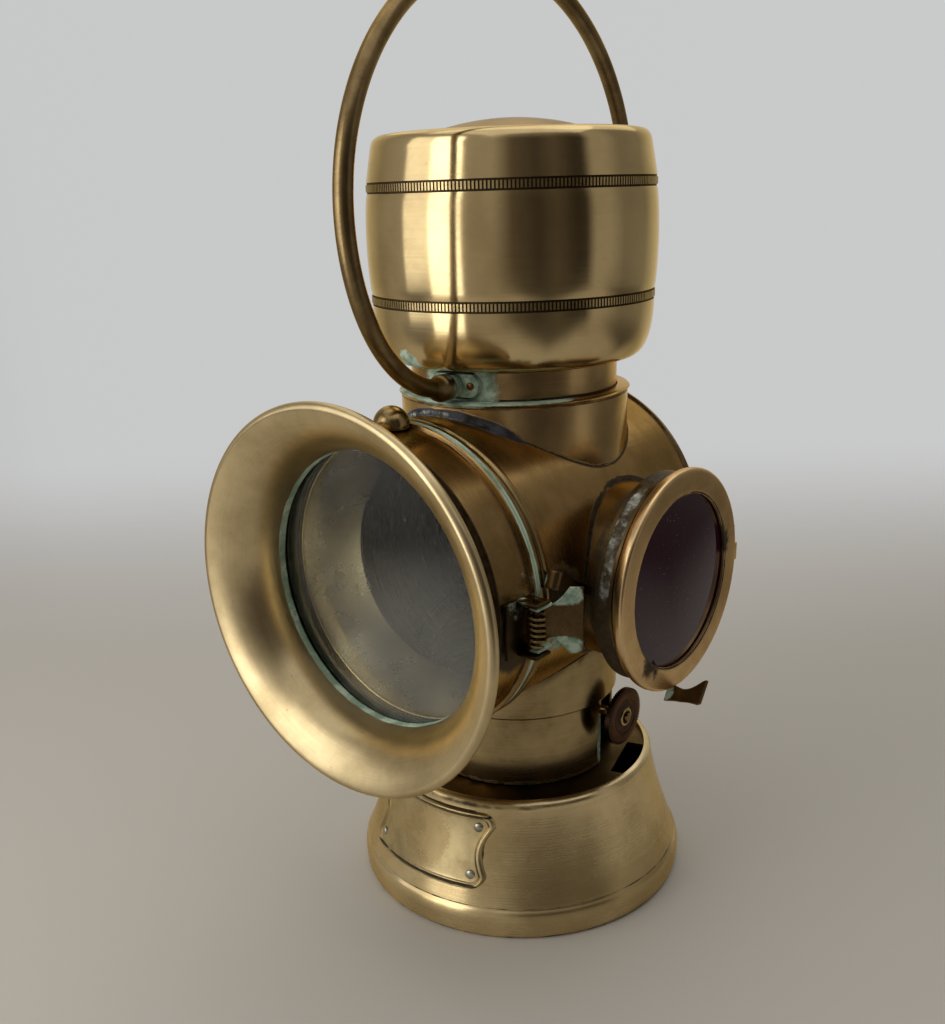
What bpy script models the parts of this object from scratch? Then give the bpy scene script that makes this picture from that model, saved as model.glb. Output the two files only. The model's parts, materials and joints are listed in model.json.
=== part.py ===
"""Antique brass oil side lamp with a flared front hood, a ruby side light and a bail handle.

Metres, +Z up. The origin is on the lamp's upright axis at table level, the front glass faces -Y and the
ruby light faces +X.
"""

import math

import bmesh
import bpy
from mathutils import Matrix, Vector

# Common values
GAP = 0.0003
SHEET = 0.0009
MERGE = 0.00001
ROUND = 28
FINE_ROUND = 14
CUT_REACH = 0.0600
CUT_ROUND = 32
KNUCKLE_ROUND = 16
PIN_ROUND = 12

# Foot, oil tank and burner
RIM_Z = 0.0403
RIM_R = 0.0421
RIM_ROLL = 0.0022
RIM_STEPS = 3
CREASE_Z = 0.0098
FLARE_OUT = 0.0082
FLARE_POWER = 1.4
FLARE_STEPS = 5
SKIRT_WALL = 0.0011
FOOT_PROUD = 0.0015
FOOT_WIDEST_Z = 0.0048
FOOT_BAND_HALF = 0.0024
FOOT_TUCK = 0.0010
FOOT_EDGE_T = 0.0015
CREASE_R = RIM_R + FLARE_OUT
FOOT_R = CREASE_R + FOOT_PROUD
FOOT_EDGE_R = FOOT_R - FOOT_TUCK
PLATE_T = 0.0012
TANK_TOP_Z = RIM_Z - SKIRT_WALL - GAP
NOTCH_INSET = 0.0036
NOTCH_W = 0.0200
NOTCH_TURN = math.radians(17)
COLLAR_R = 0.0125
COLLAR_WALL = 0.0025
COLLAR_FLANGE_W = 0.0040
COLLAR_FLANGE_T = 0.0030
COLLAR_DROP = 0.0060
COLLAR_BORE_R = COLLAR_R - COLLAR_WALL
COLLAR_FLANGE_R = COLLAR_R + COLLAR_FLANGE_W
CONE_FLANGE_W = 0.0017
CONE_FOOT_R = COLLAR_FLANGE_R - CONE_FLANGE_W
CONE_TOP_R = 0.0118
CONE_RISE = 0.0311
CONE_TOP_Z = TANK_TOP_Z + CONE_RISE
WICK_W = 0.0148
WICK_T = 0.0028
WICK_LOW_Z = 0.0120
WICK_SHOWS = 0.0025
WICK_TUBE_WALL = 0.0008
WICK_TUBE_FOOT = 0.0045
WICK_TUBE_RISE = 0.0180
WICK_TUBE_LOW_Z = TANK_TOP_Z + WICK_TUBE_FOOT
WICK_TUBE_TOP_Z = CONE_TOP_Z + WICK_TUBE_RISE
WICK_TOP_Z = WICK_TUBE_TOP_Z + WICK_SHOWS

# Tube that the oil tank plugs into
LOWER_TUBE_R = 0.0298
LOWER_STEP = 0.0010
LOWER_BAND_H = 0.0220
LOWER_UPPER_H = 0.0057
LOWER_TUBE_TOP_R = LOWER_TUBE_R + LOWER_STEP
LOWER_STEP_Z = TANK_TOP_Z + LOWER_BAND_H

# Wick winder
SPINDLE_RISE = 0.0171
SPINDLE_R = 0.0014
SPINDLE_TAIL_X = -0.0160
WHEEL_R = 0.0036
WHEEL_TOOTH = 0.0008
WHEEL_W = 0.0060
WHEEL_TEETH = 10
WHEEL_ROOT_R = WHEEL_R - WHEEL_TOOTH
SPINDLE_Y = WICK_T / 2 + GAP + WHEEL_R
SPINDLE_Z = TANK_TOP_Z + SPINDLE_RISE
KNOB_R = 0.0090
KNOB_T = 0.0026
KNOB_STANDOFF = 0.0038
KNOB_BOSS_R = 0.0028
KNOB_BOSS_T = 0.0008
KNOB_BEVEL = 0.0005
KNOB_X = LOWER_TUBE_TOP_R + KNOB_STANDOFF
SLOT_LEAD = 0.0028
SLOT_W = 0.0155
SLOT_HEADROOM = 0.0045
SLOT_FRONT_Y = SPINDLE_Y - SLOT_LEAD
SLOT_BACK_Y = SLOT_FRONT_Y + SLOT_W
SLOT_TOP_Z = SPINDLE_Z + SLOT_HEADROOM

# Bare plate on the skirt
NAME_PLATE_W = 0.0450
NAME_PLATE_H = 0.0222
NAME_PLATE_RISE = 0.0157
NAME_PLATE_T = 0.0008
NAME_PLATE_TURN = math.radians(-3.2)
NAME_PLATE_CORNER_R = 0.0040
NAME_PLATE_SCALLOP = 0.0024
NAME_PLATE_STEPS = 4
NAME_PLATE_Z = CREASE_Z + NAME_PLATE_RISE

# Horizontal drum
DRUM_R = 0.0420
DRUM_FRONT = 0.0410
DRUM_BACK = -0.0345
DRUM_Z = LOWER_STEP_Z + LOWER_UPPER_H + DRUM_R
BARREL_WALL = 0.0009
DOOR_BARREL_R = DRUM_R
RING_PROUD = 0.0012
RING_W = 0.0052
LIP_PLAY = 0.0007
LIP_L = 0.0025
LIP_WALL = 0.0007
RING_R = DRUM_R + RING_PROUD
RING_FRONT = DRUM_FRONT + GAP + RING_W
LIP_R = DOOR_BARREL_R - BARREL_WALL - LIP_PLAY
LIP_FRONT = RING_FRONT + LIP_L
BACK_SLOPE_W = 0.0160
BACK_RISE = 0.0036
BACK_FLAT_R = DRUM_R - BACK_SLOPE_W
REFLECTOR_R = 0.0300
REFLECTOR_DEPTH = 0.0154
REFLECTOR_BACK = LIP_FRONT - REFLECTOR_DEPTH
DISH_R = 0.0300
DISH_STAND = 0.0165
DISH_DEPTH = 0.0107
DISH_STUD_R = 0.0040
DISH_STEPS = 3
DISH_RIM = DRUM_BACK + DISH_STAND
SOCKET_W = 0.0260
SOCKET_D = 0.0130
SOCKET_H = 0.0360
SOCKET_WALL = 0.0032
SOCKET_BEVEL = 0.0008

# Chimney, neck and ventilator cap
CHIMNEY_R = 0.0326
CHIMNEY_BEAD = 0.0006
CHIMNEY_RISE = 0.0040
CHIMNEY_BEAD_R = CHIMNEY_R + CHIMNEY_BEAD
CHIMNEY_TOP_Z = DRUM_Z + DRUM_R + CHIMNEY_RISE
NECK_STEP = 0.0032
NECK_RISE = 0.0082
NECK_FLANGE_W = 0.0019
NECK_FLANGE_T = 0.0015
NECK_R = CHIMNEY_R - NECK_STEP
NECK_FLANGE_R = NECK_R + NECK_FLANGE_W
CAP_FLOOR_Z = CHIMNEY_TOP_Z + NECK_RISE
CAP_FLOOR_LIP = 0.0016
CAP_FLOOR_R = NECK_R + CAP_FLOOR_LIP
BOWL_H = 0.0155
BOWL_SWELL = 0.0084
BOWL_FULLNESS = 0.6
BOWL_STEPS = 5
BOWL_TOP_Z = CAP_FLOOR_Z + BOWL_H
BOWL_TOP_R = CAP_FLOOR_R + BOWL_SWELL
BAND_H = 0.0023
BAND_PROUD = 0.0003
BARREL_SWELL = 0.0008
BARREL_H = 0.0287
BARREL_TOP_Z = BOWL_TOP_Z + BARREL_H
BARREL_TOP_R = BOWL_TOP_R
BARREL_R = BOWL_TOP_R + BARREL_SWELL
LID_H = 0.0146
LID_TAPER = 0.0024
LID_RIM_W = 0.0052
LID_LEDGE_DROP = 0.0046
LID_LEDGE_W = 0.0038
LID_TOP_Z = BARREL_TOP_Z + LID_H
LID_SHOULDER_R = BARREL_TOP_R - LID_TAPER
LID_MOUTH_R = LID_SHOULDER_R - LID_RIM_W
LID_LEDGE_Z = LID_TOP_Z - LID_LEDGE_DROP
LID_LEDGE_R = LID_MOUTH_R - LID_LEDGE_W
DOME_PROUD = 0.0036
DOME_STEPS = 4
DOME_TOP_Z = LID_TOP_Z + DOME_PROUD
FLUE_INSET = 0.0054
FLUE_H = 0.0332
FLUE_R = NECK_R - FLUE_INSET
FLUE_TOP_Z = CAP_FLOOR_Z + FLUE_H

# Bail handle
BAIL_TURN = math.radians(6.0)
BAIL_RISE = 0.0042
BAIL_LEG_H = 0.0442
BAIL_ARCH_H = 0.0590
BAIL_HALF_WIDTH = 0.0712
BAIL_WIRE_R = 0.0024
BAIL_COLLAR_R = 0.0036
BAIL_COLLAR_LENGTH = 0.0040
BAIL_JOURNAL_R = 0.0019
BAIL_EASE = 1.15
BAIL_BEND_LEAD = 0.0010
BAIL_ARCH_STEPS = 22
BAIL_LEG_STEPS = 8
BAIL_Z = CHIMNEY_TOP_Z + BAIL_RISE
BAIL_MID_Z = BAIL_Z + BAIL_LEG_H
BAIL_TOP_Z = BAIL_MID_Z + BAIL_ARCH_H
LUG_T = 0.0014
LUG_H = 0.0070
LUG_HALF_ANGLE = math.radians(15)
LUG_BOSS_R = 0.0034
LUG_BOSS_OUT = 0.0041
LUG_OUT = NECK_R + LUG_BOSS_OUT
BAIL_BEND_S = LUG_OUT + BAIL_BEND_LEAD

# Ruby side light
RUBY_DROP = 0.0032
RUBY_NECK_R = 0.0248
RUBY_REACH = 0.0111
RUBY_CUP_STEP = 0.0046
RUBY_CUP_L = 0.0052
RUBY_CUP_SLOPE = 0.0017
RUBY_Z = DRUM_Z - RUBY_DROP
RUBY_CUP_R = RUBY_NECK_R + RUBY_CUP_STEP
RUBY_CUP_X = DRUM_R + RUBY_REACH
RUBY_GLASS_T = 0.0015
RETAINER_T = 0.0008
RETAINER_W = 0.0026
BEZEL_PROUD = 0.0018
BEZEL_WALL = 0.0039
BEZEL_LIP_W = 0.0030
BEZEL_LIP_T = 0.0007
BEZEL_DISH = 0.0003
BEZEL_EDGE_R = 0.0010
BEZEL_BACK_R = 0.0024
BEZEL_STEPS = 4
BEZEL_R = RUBY_CUP_R + BEZEL_PROUD
BEZEL_POCKET_R = BEZEL_R - BEZEL_WALL
BEZEL_MOUTH_R = BEZEL_POCKET_R - BEZEL_LIP_W
BEZEL_POCKET_X = RUBY_CUP_X + RETAINER_T + RUBY_GLASS_T + 3 * GAP
BEZEL_MOUTH_X = BEZEL_POCKET_X + BEZEL_LIP_T
BEZEL_FRONT_X = BEZEL_MOUTH_X + BEZEL_DISH
RETAINER_R = BEZEL_POCKET_R - RETAINER_W
RUBY_HINGE_LEAD = 0.0002
RUBY_HINGE_CLEAR = 0.0018
RUBY_KNUCKLE_R = 0.0020
RUBY_KNUCKLE_HALF = 0.0030
RUBY_HINGE_HALF = 0.0073
RUBY_PIN_R = 0.0009
RUBY_HINGE_X = RUBY_CUP_X + RUBY_HINGE_LEAD
RUBY_HINGE_OUT = BEZEL_R + RUBY_HINGE_CLEAR
TAB_LEAD = 0.0005
TAB_LENGTH = 0.0116
TAB_RISE = 0.0030
TAB_T = 0.0012
TAB_TILT = math.radians(35)
TAB_ROOT_W = 0.0056
TAB_WAIST_W = 0.0038
TAB_END_W = 0.0070
TAB_WAIST_SPAN = 0.9
TAB_CURL_START = 0.4
TAB_CURL_POWER = 1.4
TAB_STEPS = 8
TAB_ROOT_X = RUBY_CUP_X + TAB_LEAD

# Front door with its hood and glass
DOOR_L = 0.0143
DOOR_FLANGE_PROUD = 0.0013
DOOR_FLANGE_T = 0.0016
DOOR_LIP_W = 0.0026
DOOR_FRONT = RING_FRONT + GAP + DOOR_L
DOOR_FLANGE_R = DOOR_BARREL_R + DOOR_FLANGE_PROUD
DOOR_LIP_R = DOOR_BARREL_R - DOOR_LIP_W
HOOD_FLANGE_T = 0.0009
HOOD_STEP = 0.0041
HOOD_FLARE_R = 0.0173
HOOD_FLARE_ANGLE = math.radians(75.0)
HOOD_BEAD_R = 0.0016
HOOD_BEAD_FROM = math.radians(-106)
HOOD_BEAD_TO = math.radians(73)
HOOD_ARC_STEPS = 6
HOOD_THROAT = DOOR_FRONT - BARREL_WALL - GAP - HOOD_FLANGE_T
HOOD_THROAT_R = DOOR_BARREL_R - HOOD_STEP
HOOD_FLANGE_R = DOOR_BARREL_R - BARREL_WALL - GAP
GLASS_T = 0.0024
GLASS_RING_T = 0.0015
GLASS_RING_W = 0.0023
COWL_R = 0.0048
COWL_LIFT = 0.0010
COWL_RINGS = 10
COWL_FRONT = RING_FRONT + GAP + COWL_R
HINGE_OFFSET = 0.0021
HINGE_KNUCKLE_R = 0.0024
HINGE_PIN_R = 0.0011
HINGE_HALF = 0.0100
HINGE_MIDDLE_HALF = 0.0036
HINGE_LEAF_T = 0.0012
HINGE_LEAF_LENGTH = 0.0090
HINGE_X = -(DOOR_FLANGE_R + GAP + HINGE_LEAF_T + HINGE_OFFSET)

# Spring catch on the door
CATCH_DROP = 0.0021
CATCH_STAND = 0.0048
CATCH_LEAD = 0.0065
CATCH_PIN_R = 0.0009
CATCH_EAR_HALF = 0.0072
CATCH_EAR_T = 0.0010
CATCH_EAR_D = 0.0060
CATCH_EAR_PROUD = 0.0022
CATCH_Z = DRUM_Z - CATCH_DROP
CATCH_PIN_X = DOOR_BARREL_R + CATCH_STAND
CATCH_PIN_FRONT = RING_FRONT + CATCH_LEAD
CATCH_EAR_OUT = CATCH_PIN_X + CATCH_EAR_PROUD
LEVER_PLAY = 0.0013
LEVER_T = 0.0009
LEVER_LENGTH = 0.0080
LEVER_WING_RISE = 0.0090
LEVER_WAIST_W = 0.0090
LEVER_WING_W = 0.0176
LEVER_EAR_SPAN = 0.2
LEVER_WAIST_SPAN = 0.75
LEVER_CURL_START = 0.05
LEVER_CURL_POWER = 1.2
LEVER_STEPS = 8
LEVER_EAR_HALF = CATCH_EAR_HALF - LEVER_PLAY
KEEPER_T = 0.0010
KEEPER_W = 0.0046
KEEPER_TIP_W = 0.0024
KEEPER_RISE = 0.0076
KEEPER_FALL = 0.0086
KEEPER_CLEAR = 0.0010
KEEPER_ROLL_R = 0.0015
KEEPER_ROLL_TURN = math.radians(230)
KEEPER_ROLL_STEPS = 8
SPRING_R = 0.0021
SPRING_WIRE_R = 0.00035
SPRING_TURNS = 6
SPRING_POINTS = 9

BRASS = (0.42, 0.29, 0.11)
POLISHED = (0.52, 0.37, 0.15)
DARK_BRASS = (0.20, 0.13, 0.055)
COPPER = (0.09, 0.055, 0.04)
SILVERED = (0.42, 0.40, 0.36)
RUBY = (0.06, 0.005, 0.012)
CLEAR = (0.75, 0.80, 0.78)
COTTON = (0.62, 0.56, 0.44)

FRONTWARD = (math.radians(90), 0, 0)
SIDEWARD = (0, math.radians(90), 0)
UPWARD = (0, 0, 0)

for old in list(bpy.data.objects):
    bpy.data.objects.remove(old, do_unlink=True)
LAMP = bpy.data.collections.new("side_lamp")
CUTTERS = bpy.data.collections.new("cutters")
bpy.context.scene.collection.children.link(LAMP)
bpy.context.scene.collection.children.link(CUTTERS)


def finish(obj, colour, roughness, metallic):
    """Give the object its own material."""
    material = bpy.data.materials.new(obj.name + "_finish")
    material.use_nodes = True
    shader = material.node_tree.nodes["Principled BSDF"]
    shader.inputs["Base Color"].default_value = (*colour, 1)
    shader.inputs["Roughness"].default_value = roughness
    shader.inputs["Metallic"].default_value = metallic
    obj.data.materials.clear()
    obj.data.materials.append(material)


def brass(obj, colour=BRASS):
    finish(obj, colour, 0.35, 1.0)
    return obj


def new_object(name, mesh, helper=False):
    obj = bpy.data.objects.new(name, mesh)
    if helper:
        CUTTERS.objects.link(obj)
        obj.hide_render = True
        obj.display_type = "WIRE"
    else:
        LAMP.objects.link(obj)
    return obj


def turned(name, outline, steps=ROUND, axis=UPWARD, at=(0, 0, 0), closed=True, helper=False):
    """Turn an outline of (radius, height) points, listed down its outer side, about the given axis."""
    mesh = bpy.data.meshes.new(name)
    build = bmesh.new()
    points = [build.verts.new((radius, 0, height)) for radius, height in outline]
    for first, second in zip(points, points[1:]):
        build.edges.new((first, second))
    if closed:
        build.edges.new((points[-1], points[0]))
    build.to_mesh(mesh)
    build.free()
    obj = new_object(name, mesh, helper)
    turn = obj.modifiers.new("Turn", "SCREW")
    turn.steps = steps
    turn.render_steps = steps
    turn.use_merge_vertices = True
    turn.merge_threshold = MERGE
    turn.use_smooth_shade = True
    obj.rotation_euler = axis
    obj.location = at
    return obj


def rod(name, radius, low, high, axis=UPWARD, at=(0, 0, 0), steps=FINE_ROUND, helper=False):
    """A solid round bar along the given axis."""
    outline = [(0, high), (radius, high), (radius, low), (0, low)]
    return turned(name, outline, steps, axis, at, closed=False, helper=helper)


def block(name, low, high, helper=False):
    """A box between two corners."""
    mesh = bpy.data.meshes.new(name)
    build = bmesh.new()
    bmesh.ops.create_cube(build, size=1)
    size = Vector(high) - Vector(low)
    middle = (Vector(high) + Vector(low)) / 2
    build.transform(Matrix.Translation(middle) @ Matrix.Diagonal((*size, 1)))
    build.to_mesh(mesh)
    build.free()
    return new_object(name, mesh, helper)


def combine(obj, other, operation):
    step = obj.modifiers.new(operation.title(), "BOOLEAN")
    step.operation = operation
    step.object = other
    return obj


def cut(obj, *cutters):
    for cutter in cutters:
        combine(obj, cutter, "DIFFERENCE")
    return obj


def join(obj, *others):
    for other in others:
        combine(obj, other, "UNION")
    return obj


def arc(centre, radius, start, end, steps):
    """Points on an arc, with angles measured from the outward direction towards +height."""
    angles = [start + (end - start) * i / steps for i in range(steps + 1)]
    return [(centre[0] + radius * math.cos(a), centre[1] + radius * math.sin(a)) for a in angles]


def wire(name, points, radius, scales=None, sides=2):
    """A round wire through the points, with an optional scale of its radius at each."""
    curve = bpy.data.curves.new(name, "CURVE")
    curve.dimensions = "3D"
    curve.bevel_depth = radius
    curve.bevel_resolution = sides
    curve.use_fill_caps = True
    spline = curve.splines.new("POLY")
    spline.points.add(len(points) - 1)
    for i, place in enumerate(points):
        spline.points[i].co = (*place, 1)
        spline.points[i].radius = scales[i] if scales else 1
    return new_object(name, curve)


def strip(name, stations, thickness):
    """A bent metal strip through stations of (middle, direction of the width, width)."""
    mesh = bpy.data.meshes.new(name)
    build = bmesh.new()
    rows = []
    for place, across, width in stations:
        half = Vector(across) * (width / 2)
        rows.append((build.verts.new(Vector(place) - half), build.verts.new(Vector(place) + half)))
    for (a, b), (c, d) in zip(rows, rows[1:]):
        build.faces.new((a, b, d, c))
    build.normal_update()
    build.to_mesh(mesh)
    build.free()
    obj = new_object(name, mesh)
    wall = obj.modifiers.new("Thickness", "SOLIDIFY")
    wall.thickness = thickness
    wall.offset = 0
    return obj


def flare_radius(z):
    """The skirt's outer radius between its rim and the crease over the foot."""
    share = (RIM_Z - z) / (RIM_Z - CREASE_Z)
    return RIM_R + (CREASE_R - RIM_R) * share ** FLARE_POWER


def pivot(name, place):
    """An empty on a joint's axis, which carries the pieces of one moving body."""
    empty = bpy.data.objects.new(name, None)
    empty.empty_display_size = 0.01
    empty.location = place
    LAMP.objects.link(empty)
    return empty


def carry(empty, *pieces):
    bpy.context.view_layer.update()
    for piece in pieces:
        piece.parent = empty
        piece.matrix_parent_inverse = empty.matrix_world.inverted()


# Cutters that several pieces share
LONG_CUT = 2 * CUT_REACH
DRUM_PLACE = (0, 0, DRUM_Z)
drum_way = DRUM_R + GAP
door_way = DOOR_BARREL_R + GAP
drum_space = rod("drum_space", drum_way, -LONG_CUT, LONG_CUT, FRONTWARD, DRUM_PLACE, CUT_ROUND, helper=True)
door_space = rod("door_space", door_way, -LONG_CUT, LONG_CUT, FRONTWARD, DRUM_PLACE, CUT_ROUND, helper=True)


def make_foot():
    """The flared skirt with its rolled rim and its plates, which together hold the oil."""
    fall = RIM_Z - RIM_ROLL
    roll = (flare_radius(fall) - RIM_ROLL, fall)
    levels = [fall + (CREASE_Z - fall) * i / FLARE_STEPS for i in range(FLARE_STEPS + 1)]
    outer = arc(roll, RIM_ROLL, math.pi / 2, 0, RIM_STEPS) + [(flare_radius(z), z) for z in levels[1:]]
    widest = FOOT_WIDEST_Z
    foot = [(FOOT_R, widest + FOOT_BAND_HALF), (FOOT_R, widest - FOOT_BAND_HALF), (FOOT_EDGE_R, 0)]
    inner_foot_r = FOOT_EDGE_R - FOOT_EDGE_T
    inner = [(inner_foot_r, 0), (inner_foot_r, CREASE_Z)]
    inner += [(flare_radius(z) - SKIRT_WALL, z) for z in levels[-2:0:-2]]
    inner += arc(roll, RIM_ROLL - SKIRT_WALL, 0, math.pi / 2, RIM_STEPS)
    skirt = brass(turned("base_skirt", outer + foot + inner))
    plate_r = inner_foot_r - GAP
    outline = [(0, PLATE_T), (plate_r, PLATE_T), (plate_r, 0), (0, 0)]
    floor = brass(turned("base_plate", outline, closed=False))
    top_r = roll[0]
    under = TANK_TOP_Z - PLATE_T
    hole = COLLAR_R + GAP
    lid = turned("tank_top", [(top_r, TANK_TOP_Z), (top_r, under), (hole, under), (hole, TANK_TOP_Z)])
    near = (LOWER_TUBE_R + NOTCH_INSET, -NOTCH_W / 2, 0)
    notch = block("rim_notch", near, (CUT_REACH, NOTCH_W / 2, CUT_REACH), helper=True)
    notch.rotation_euler = (0, 0, NOTCH_TURN)
    brass(cut(lid, notch), DARK_BRASS)
    return skirt, floor, lid


def make_burner():
    """The screw collar, the burner's cone and the flat wick tube."""
    seat = TANK_TOP_Z + GAP
    top = seat + COLLAR_FLANGE_T
    low = TANK_TOP_Z - COLLAR_DROP
    outline = [(COLLAR_FLANGE_R, top), (COLLAR_FLANGE_R, seat), (COLLAR_R, seat), (COLLAR_R, low)]
    outline += [(COLLAR_BORE_R, low), (COLLAR_BORE_R, top)]
    collar = brass(turned("burner_collar", outline, FINE_ROUND), DARK_BRASS)
    foot = top + GAP
    shoulder = foot + PLATE_T
    outline = [(0, CONE_TOP_Z), (CONE_TOP_R, CONE_TOP_Z), (CONE_FOOT_R, shoulder)]
    outline += [(COLLAR_FLANGE_R, shoulder), (COLLAR_FLANGE_R, foot), (CONE_FOOT_R - SHEET, foot)]
    outline += [(CONE_TOP_R - SHEET, CONE_TOP_Z - SHEET), (0, CONE_TOP_Z - SHEET)]
    cone = brass(turned("burner_cone", outline, FINE_ROUND, closed=False))
    inner = (WICK_W / 2 + GAP, WICK_T / 2 + GAP)
    outer = (inner[0] + WICK_TUBE_WALL, inner[1] + WICK_TUBE_WALL)
    mouth = (outer[0] + GAP, outer[1] + GAP)
    low = CONE_TOP_Z - CONE_TOP_R
    high = CONE_TOP_Z + CONE_TOP_R
    way = block("tube_mouth", (-mouth[0], -mouth[1], low), (mouth[0], mouth[1], high), helper=True)
    place = (0, SPINDLE_Y, SPINDLE_Z)
    bearing = rod("spindle_way", SPINDLE_R + GAP, -CUT_REACH, CUT_REACH, SIDEWARD, place, helper=True)
    cut(cone, way, bearing)
    tube = block("wick_tube", (-outer[0], -outer[1], WICK_TUBE_LOW_Z), (outer[0], outer[1], WICK_TUBE_TOP_Z))
    high = 2 * WICK_TUBE_TOP_Z
    hollow = block("tube_hollow", (-inner[0], -inner[1], 0), (inner[0], inner[1], high), helper=True)
    tall = WHEEL_R - 2 * GAP
    wide = WHEEL_W / 2 + GAP
    corner = (wide, SPINDLE_Y, SPINDLE_Z + tall)
    window = block("wheel_window", (-wide, 0, SPINDLE_Z - tall), corner, helper=True)
    brass(cut(tube, hollow, window))
    wick = block("wick", (-WICK_W / 2, -WICK_T / 2, WICK_LOW_Z), (WICK_W / 2, WICK_T / 2, WICK_TOP_Z))
    finish(wick, COTTON, 0.95, 0)
    return collar, cone, tube, wick


def make_winder():
    """The spindle with its spur wheel behind the wick and the milled knob outside the lower tube."""
    place = (0, SPINDLE_Y, SPINDLE_Z)
    tip = KNOB_X + KNOB_T + KNOB_BOSS_T
    spindle = rod("winder_spindle", SPINDLE_R, SPINDLE_TAIL_X, tip, SIDEWARD, place, PIN_ROUND)
    brass(spindle, DARK_BRASS)
    curve = bpy.data.curves.new("winder_wheel", "CURVE")
    curve.dimensions = "2D"
    curve.fill_mode = "BOTH"
    curve.extrude = WHEEL_W / 2
    teeth = curve.splines.new("POLY")
    teeth.points.add(2 * WHEEL_TEETH - 1)
    teeth.use_cyclic_u = True
    for i in range(2 * WHEEL_TEETH):
        radius = WHEEL_R if i % 2 else WHEEL_ROOT_R
        turn = math.pi * i / WHEEL_TEETH
        teeth.points[i].co = (radius * math.cos(turn), radius * math.sin(turn), 0, 1)
    bore = curve.splines.new("POLY")
    bore.points.add(PIN_ROUND - 1)
    bore.use_cyclic_u = True
    bore_r = SPINDLE_R + GAP
    for i in range(PIN_ROUND):
        turn = 2 * math.pi * i / PIN_ROUND
        bore.points[i].co = (bore_r * math.cos(turn), bore_r * math.sin(turn), 0, 1)
    wheel = new_object("winder_wheel", curve)
    wheel.rotation_euler = SIDEWARD
    wheel.location = place
    brass(wheel, DARK_BRASS)
    face = KNOB_X + KNOB_T
    outline = [(bore_r, tip), (KNOB_BOSS_R, tip), (KNOB_BOSS_R, face), (KNOB_R - KNOB_BEVEL, face)]
    outline += [(KNOB_R, face - KNOB_BEVEL), (KNOB_R, KNOB_X + KNOB_BEVEL), (KNOB_R - KNOB_BEVEL, KNOB_X)]
    outline += [(bore_r, KNOB_X)]
    knob = turned("wick_knob", outline, ROUND, SIDEWARD, place)
    finish(knob, COPPER, 0.5, 1.0)
    return spindle, wheel, knob


def make_name_plate():
    """The bare bordered plate, cut from a shell that follows the skirt."""
    reach = NAME_PLATE_H / 2 + GAP
    levels = [NAME_PLATE_Z + reach - 2 * reach * i / NAME_PLATE_STEPS for i in range(NAME_PLATE_STEPS + 1)]
    outer = [(flare_radius(z) + GAP + NAME_PLATE_T, z) for z in levels]
    inner = [(flare_radius(z) + GAP, z) for z in reversed(levels)]
    plate = turned("name_plate", outer + inner, 2 * ROUND)
    half_w = NAME_PLATE_W / 2
    half_h = NAME_PLATE_H / 2
    corner = NAME_PLATE_CORNER_R
    outline = []
    for turn, x, y in ((0, 1, 1), (1, -1, 1), (2, -1, -1), (3, 1, -1)):
        centre = (x * (half_w - corner), y * (half_h - corner))
        outline += arc(centre, corner, turn * math.pi / 2, (turn + 1) * math.pi / 2, 3)
        if turn in (1, 3):
            outline.append((x * (half_w - NAME_PLATE_SCALLOP), 0))
    curve = bpy.data.curves.new("plate_outline", "CURVE")
    curve.dimensions = "2D"
    curve.fill_mode = "BOTH"
    curve.extrude = CUT_REACH / 2
    spline = curve.splines.new("POLY")
    spline.points.add(len(outline) - 1)
    spline.use_cyclic_u = True
    for point, (x, y) in zip(spline.points, outline):
        point.co = (x, y, 0, 1)
    guide = bpy.data.objects.new("plate_guide", curve)
    CUTTERS.objects.link(guide)
    bpy.context.view_layer.update()
    mesh = bpy.data.meshes.new_from_object(guide.evaluated_get(bpy.context.evaluated_depsgraph_get()))
    bpy.data.objects.remove(guide, do_unlink=True)
    build = bmesh.new()
    build.from_mesh(mesh)
    bmesh.ops.remove_doubles(build, verts=build.verts, dist=MERGE)
    build.to_mesh(mesh)
    build.free()
    cutter = new_object("plate_outline", mesh, helper=True)
    cutter.rotation_euler = (math.radians(90), 0, NAME_PLATE_TURN)
    facing = Vector((math.sin(NAME_PLATE_TURN), -math.cos(NAME_PLATE_TURN), 0))
    cutter.location = CREASE_R * facing + Vector((0, 0, NAME_PLATE_Z))
    combine(plate, cutter, "INTERSECT")
    return brass(plate)


def make_lower_tube():
    """The slotted tube that the oil tank plugs into from below."""
    seat = TANK_TOP_Z + GAP
    top = DRUM_Z - DRUM_R / 2
    step = LOWER_TUBE_TOP_R - LOWER_TUBE_R
    outline = [(LOWER_TUBE_TOP_R, top), (LOWER_TUBE_TOP_R, LOWER_STEP_Z + step), (LOWER_TUBE_R, LOWER_STEP_Z)]
    outline += [(LOWER_TUBE_R, seat), (LOWER_TUBE_R - SHEET, seat), (LOWER_TUBE_R - SHEET, LOWER_STEP_Z)]
    outline += [(LOWER_TUBE_TOP_R - SHEET, LOWER_STEP_Z + step), (LOWER_TUBE_TOP_R - SHEET, top)]
    tube = turned("lower_tube", outline)
    corner = (CUT_REACH, SLOT_BACK_Y, SLOT_TOP_Z)
    slot = block("knob_slot", (LOWER_TUBE_R / 2, SLOT_FRONT_Y, 0), corner, helper=True)
    return brass(cut(tube, drum_space, slot))


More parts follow.
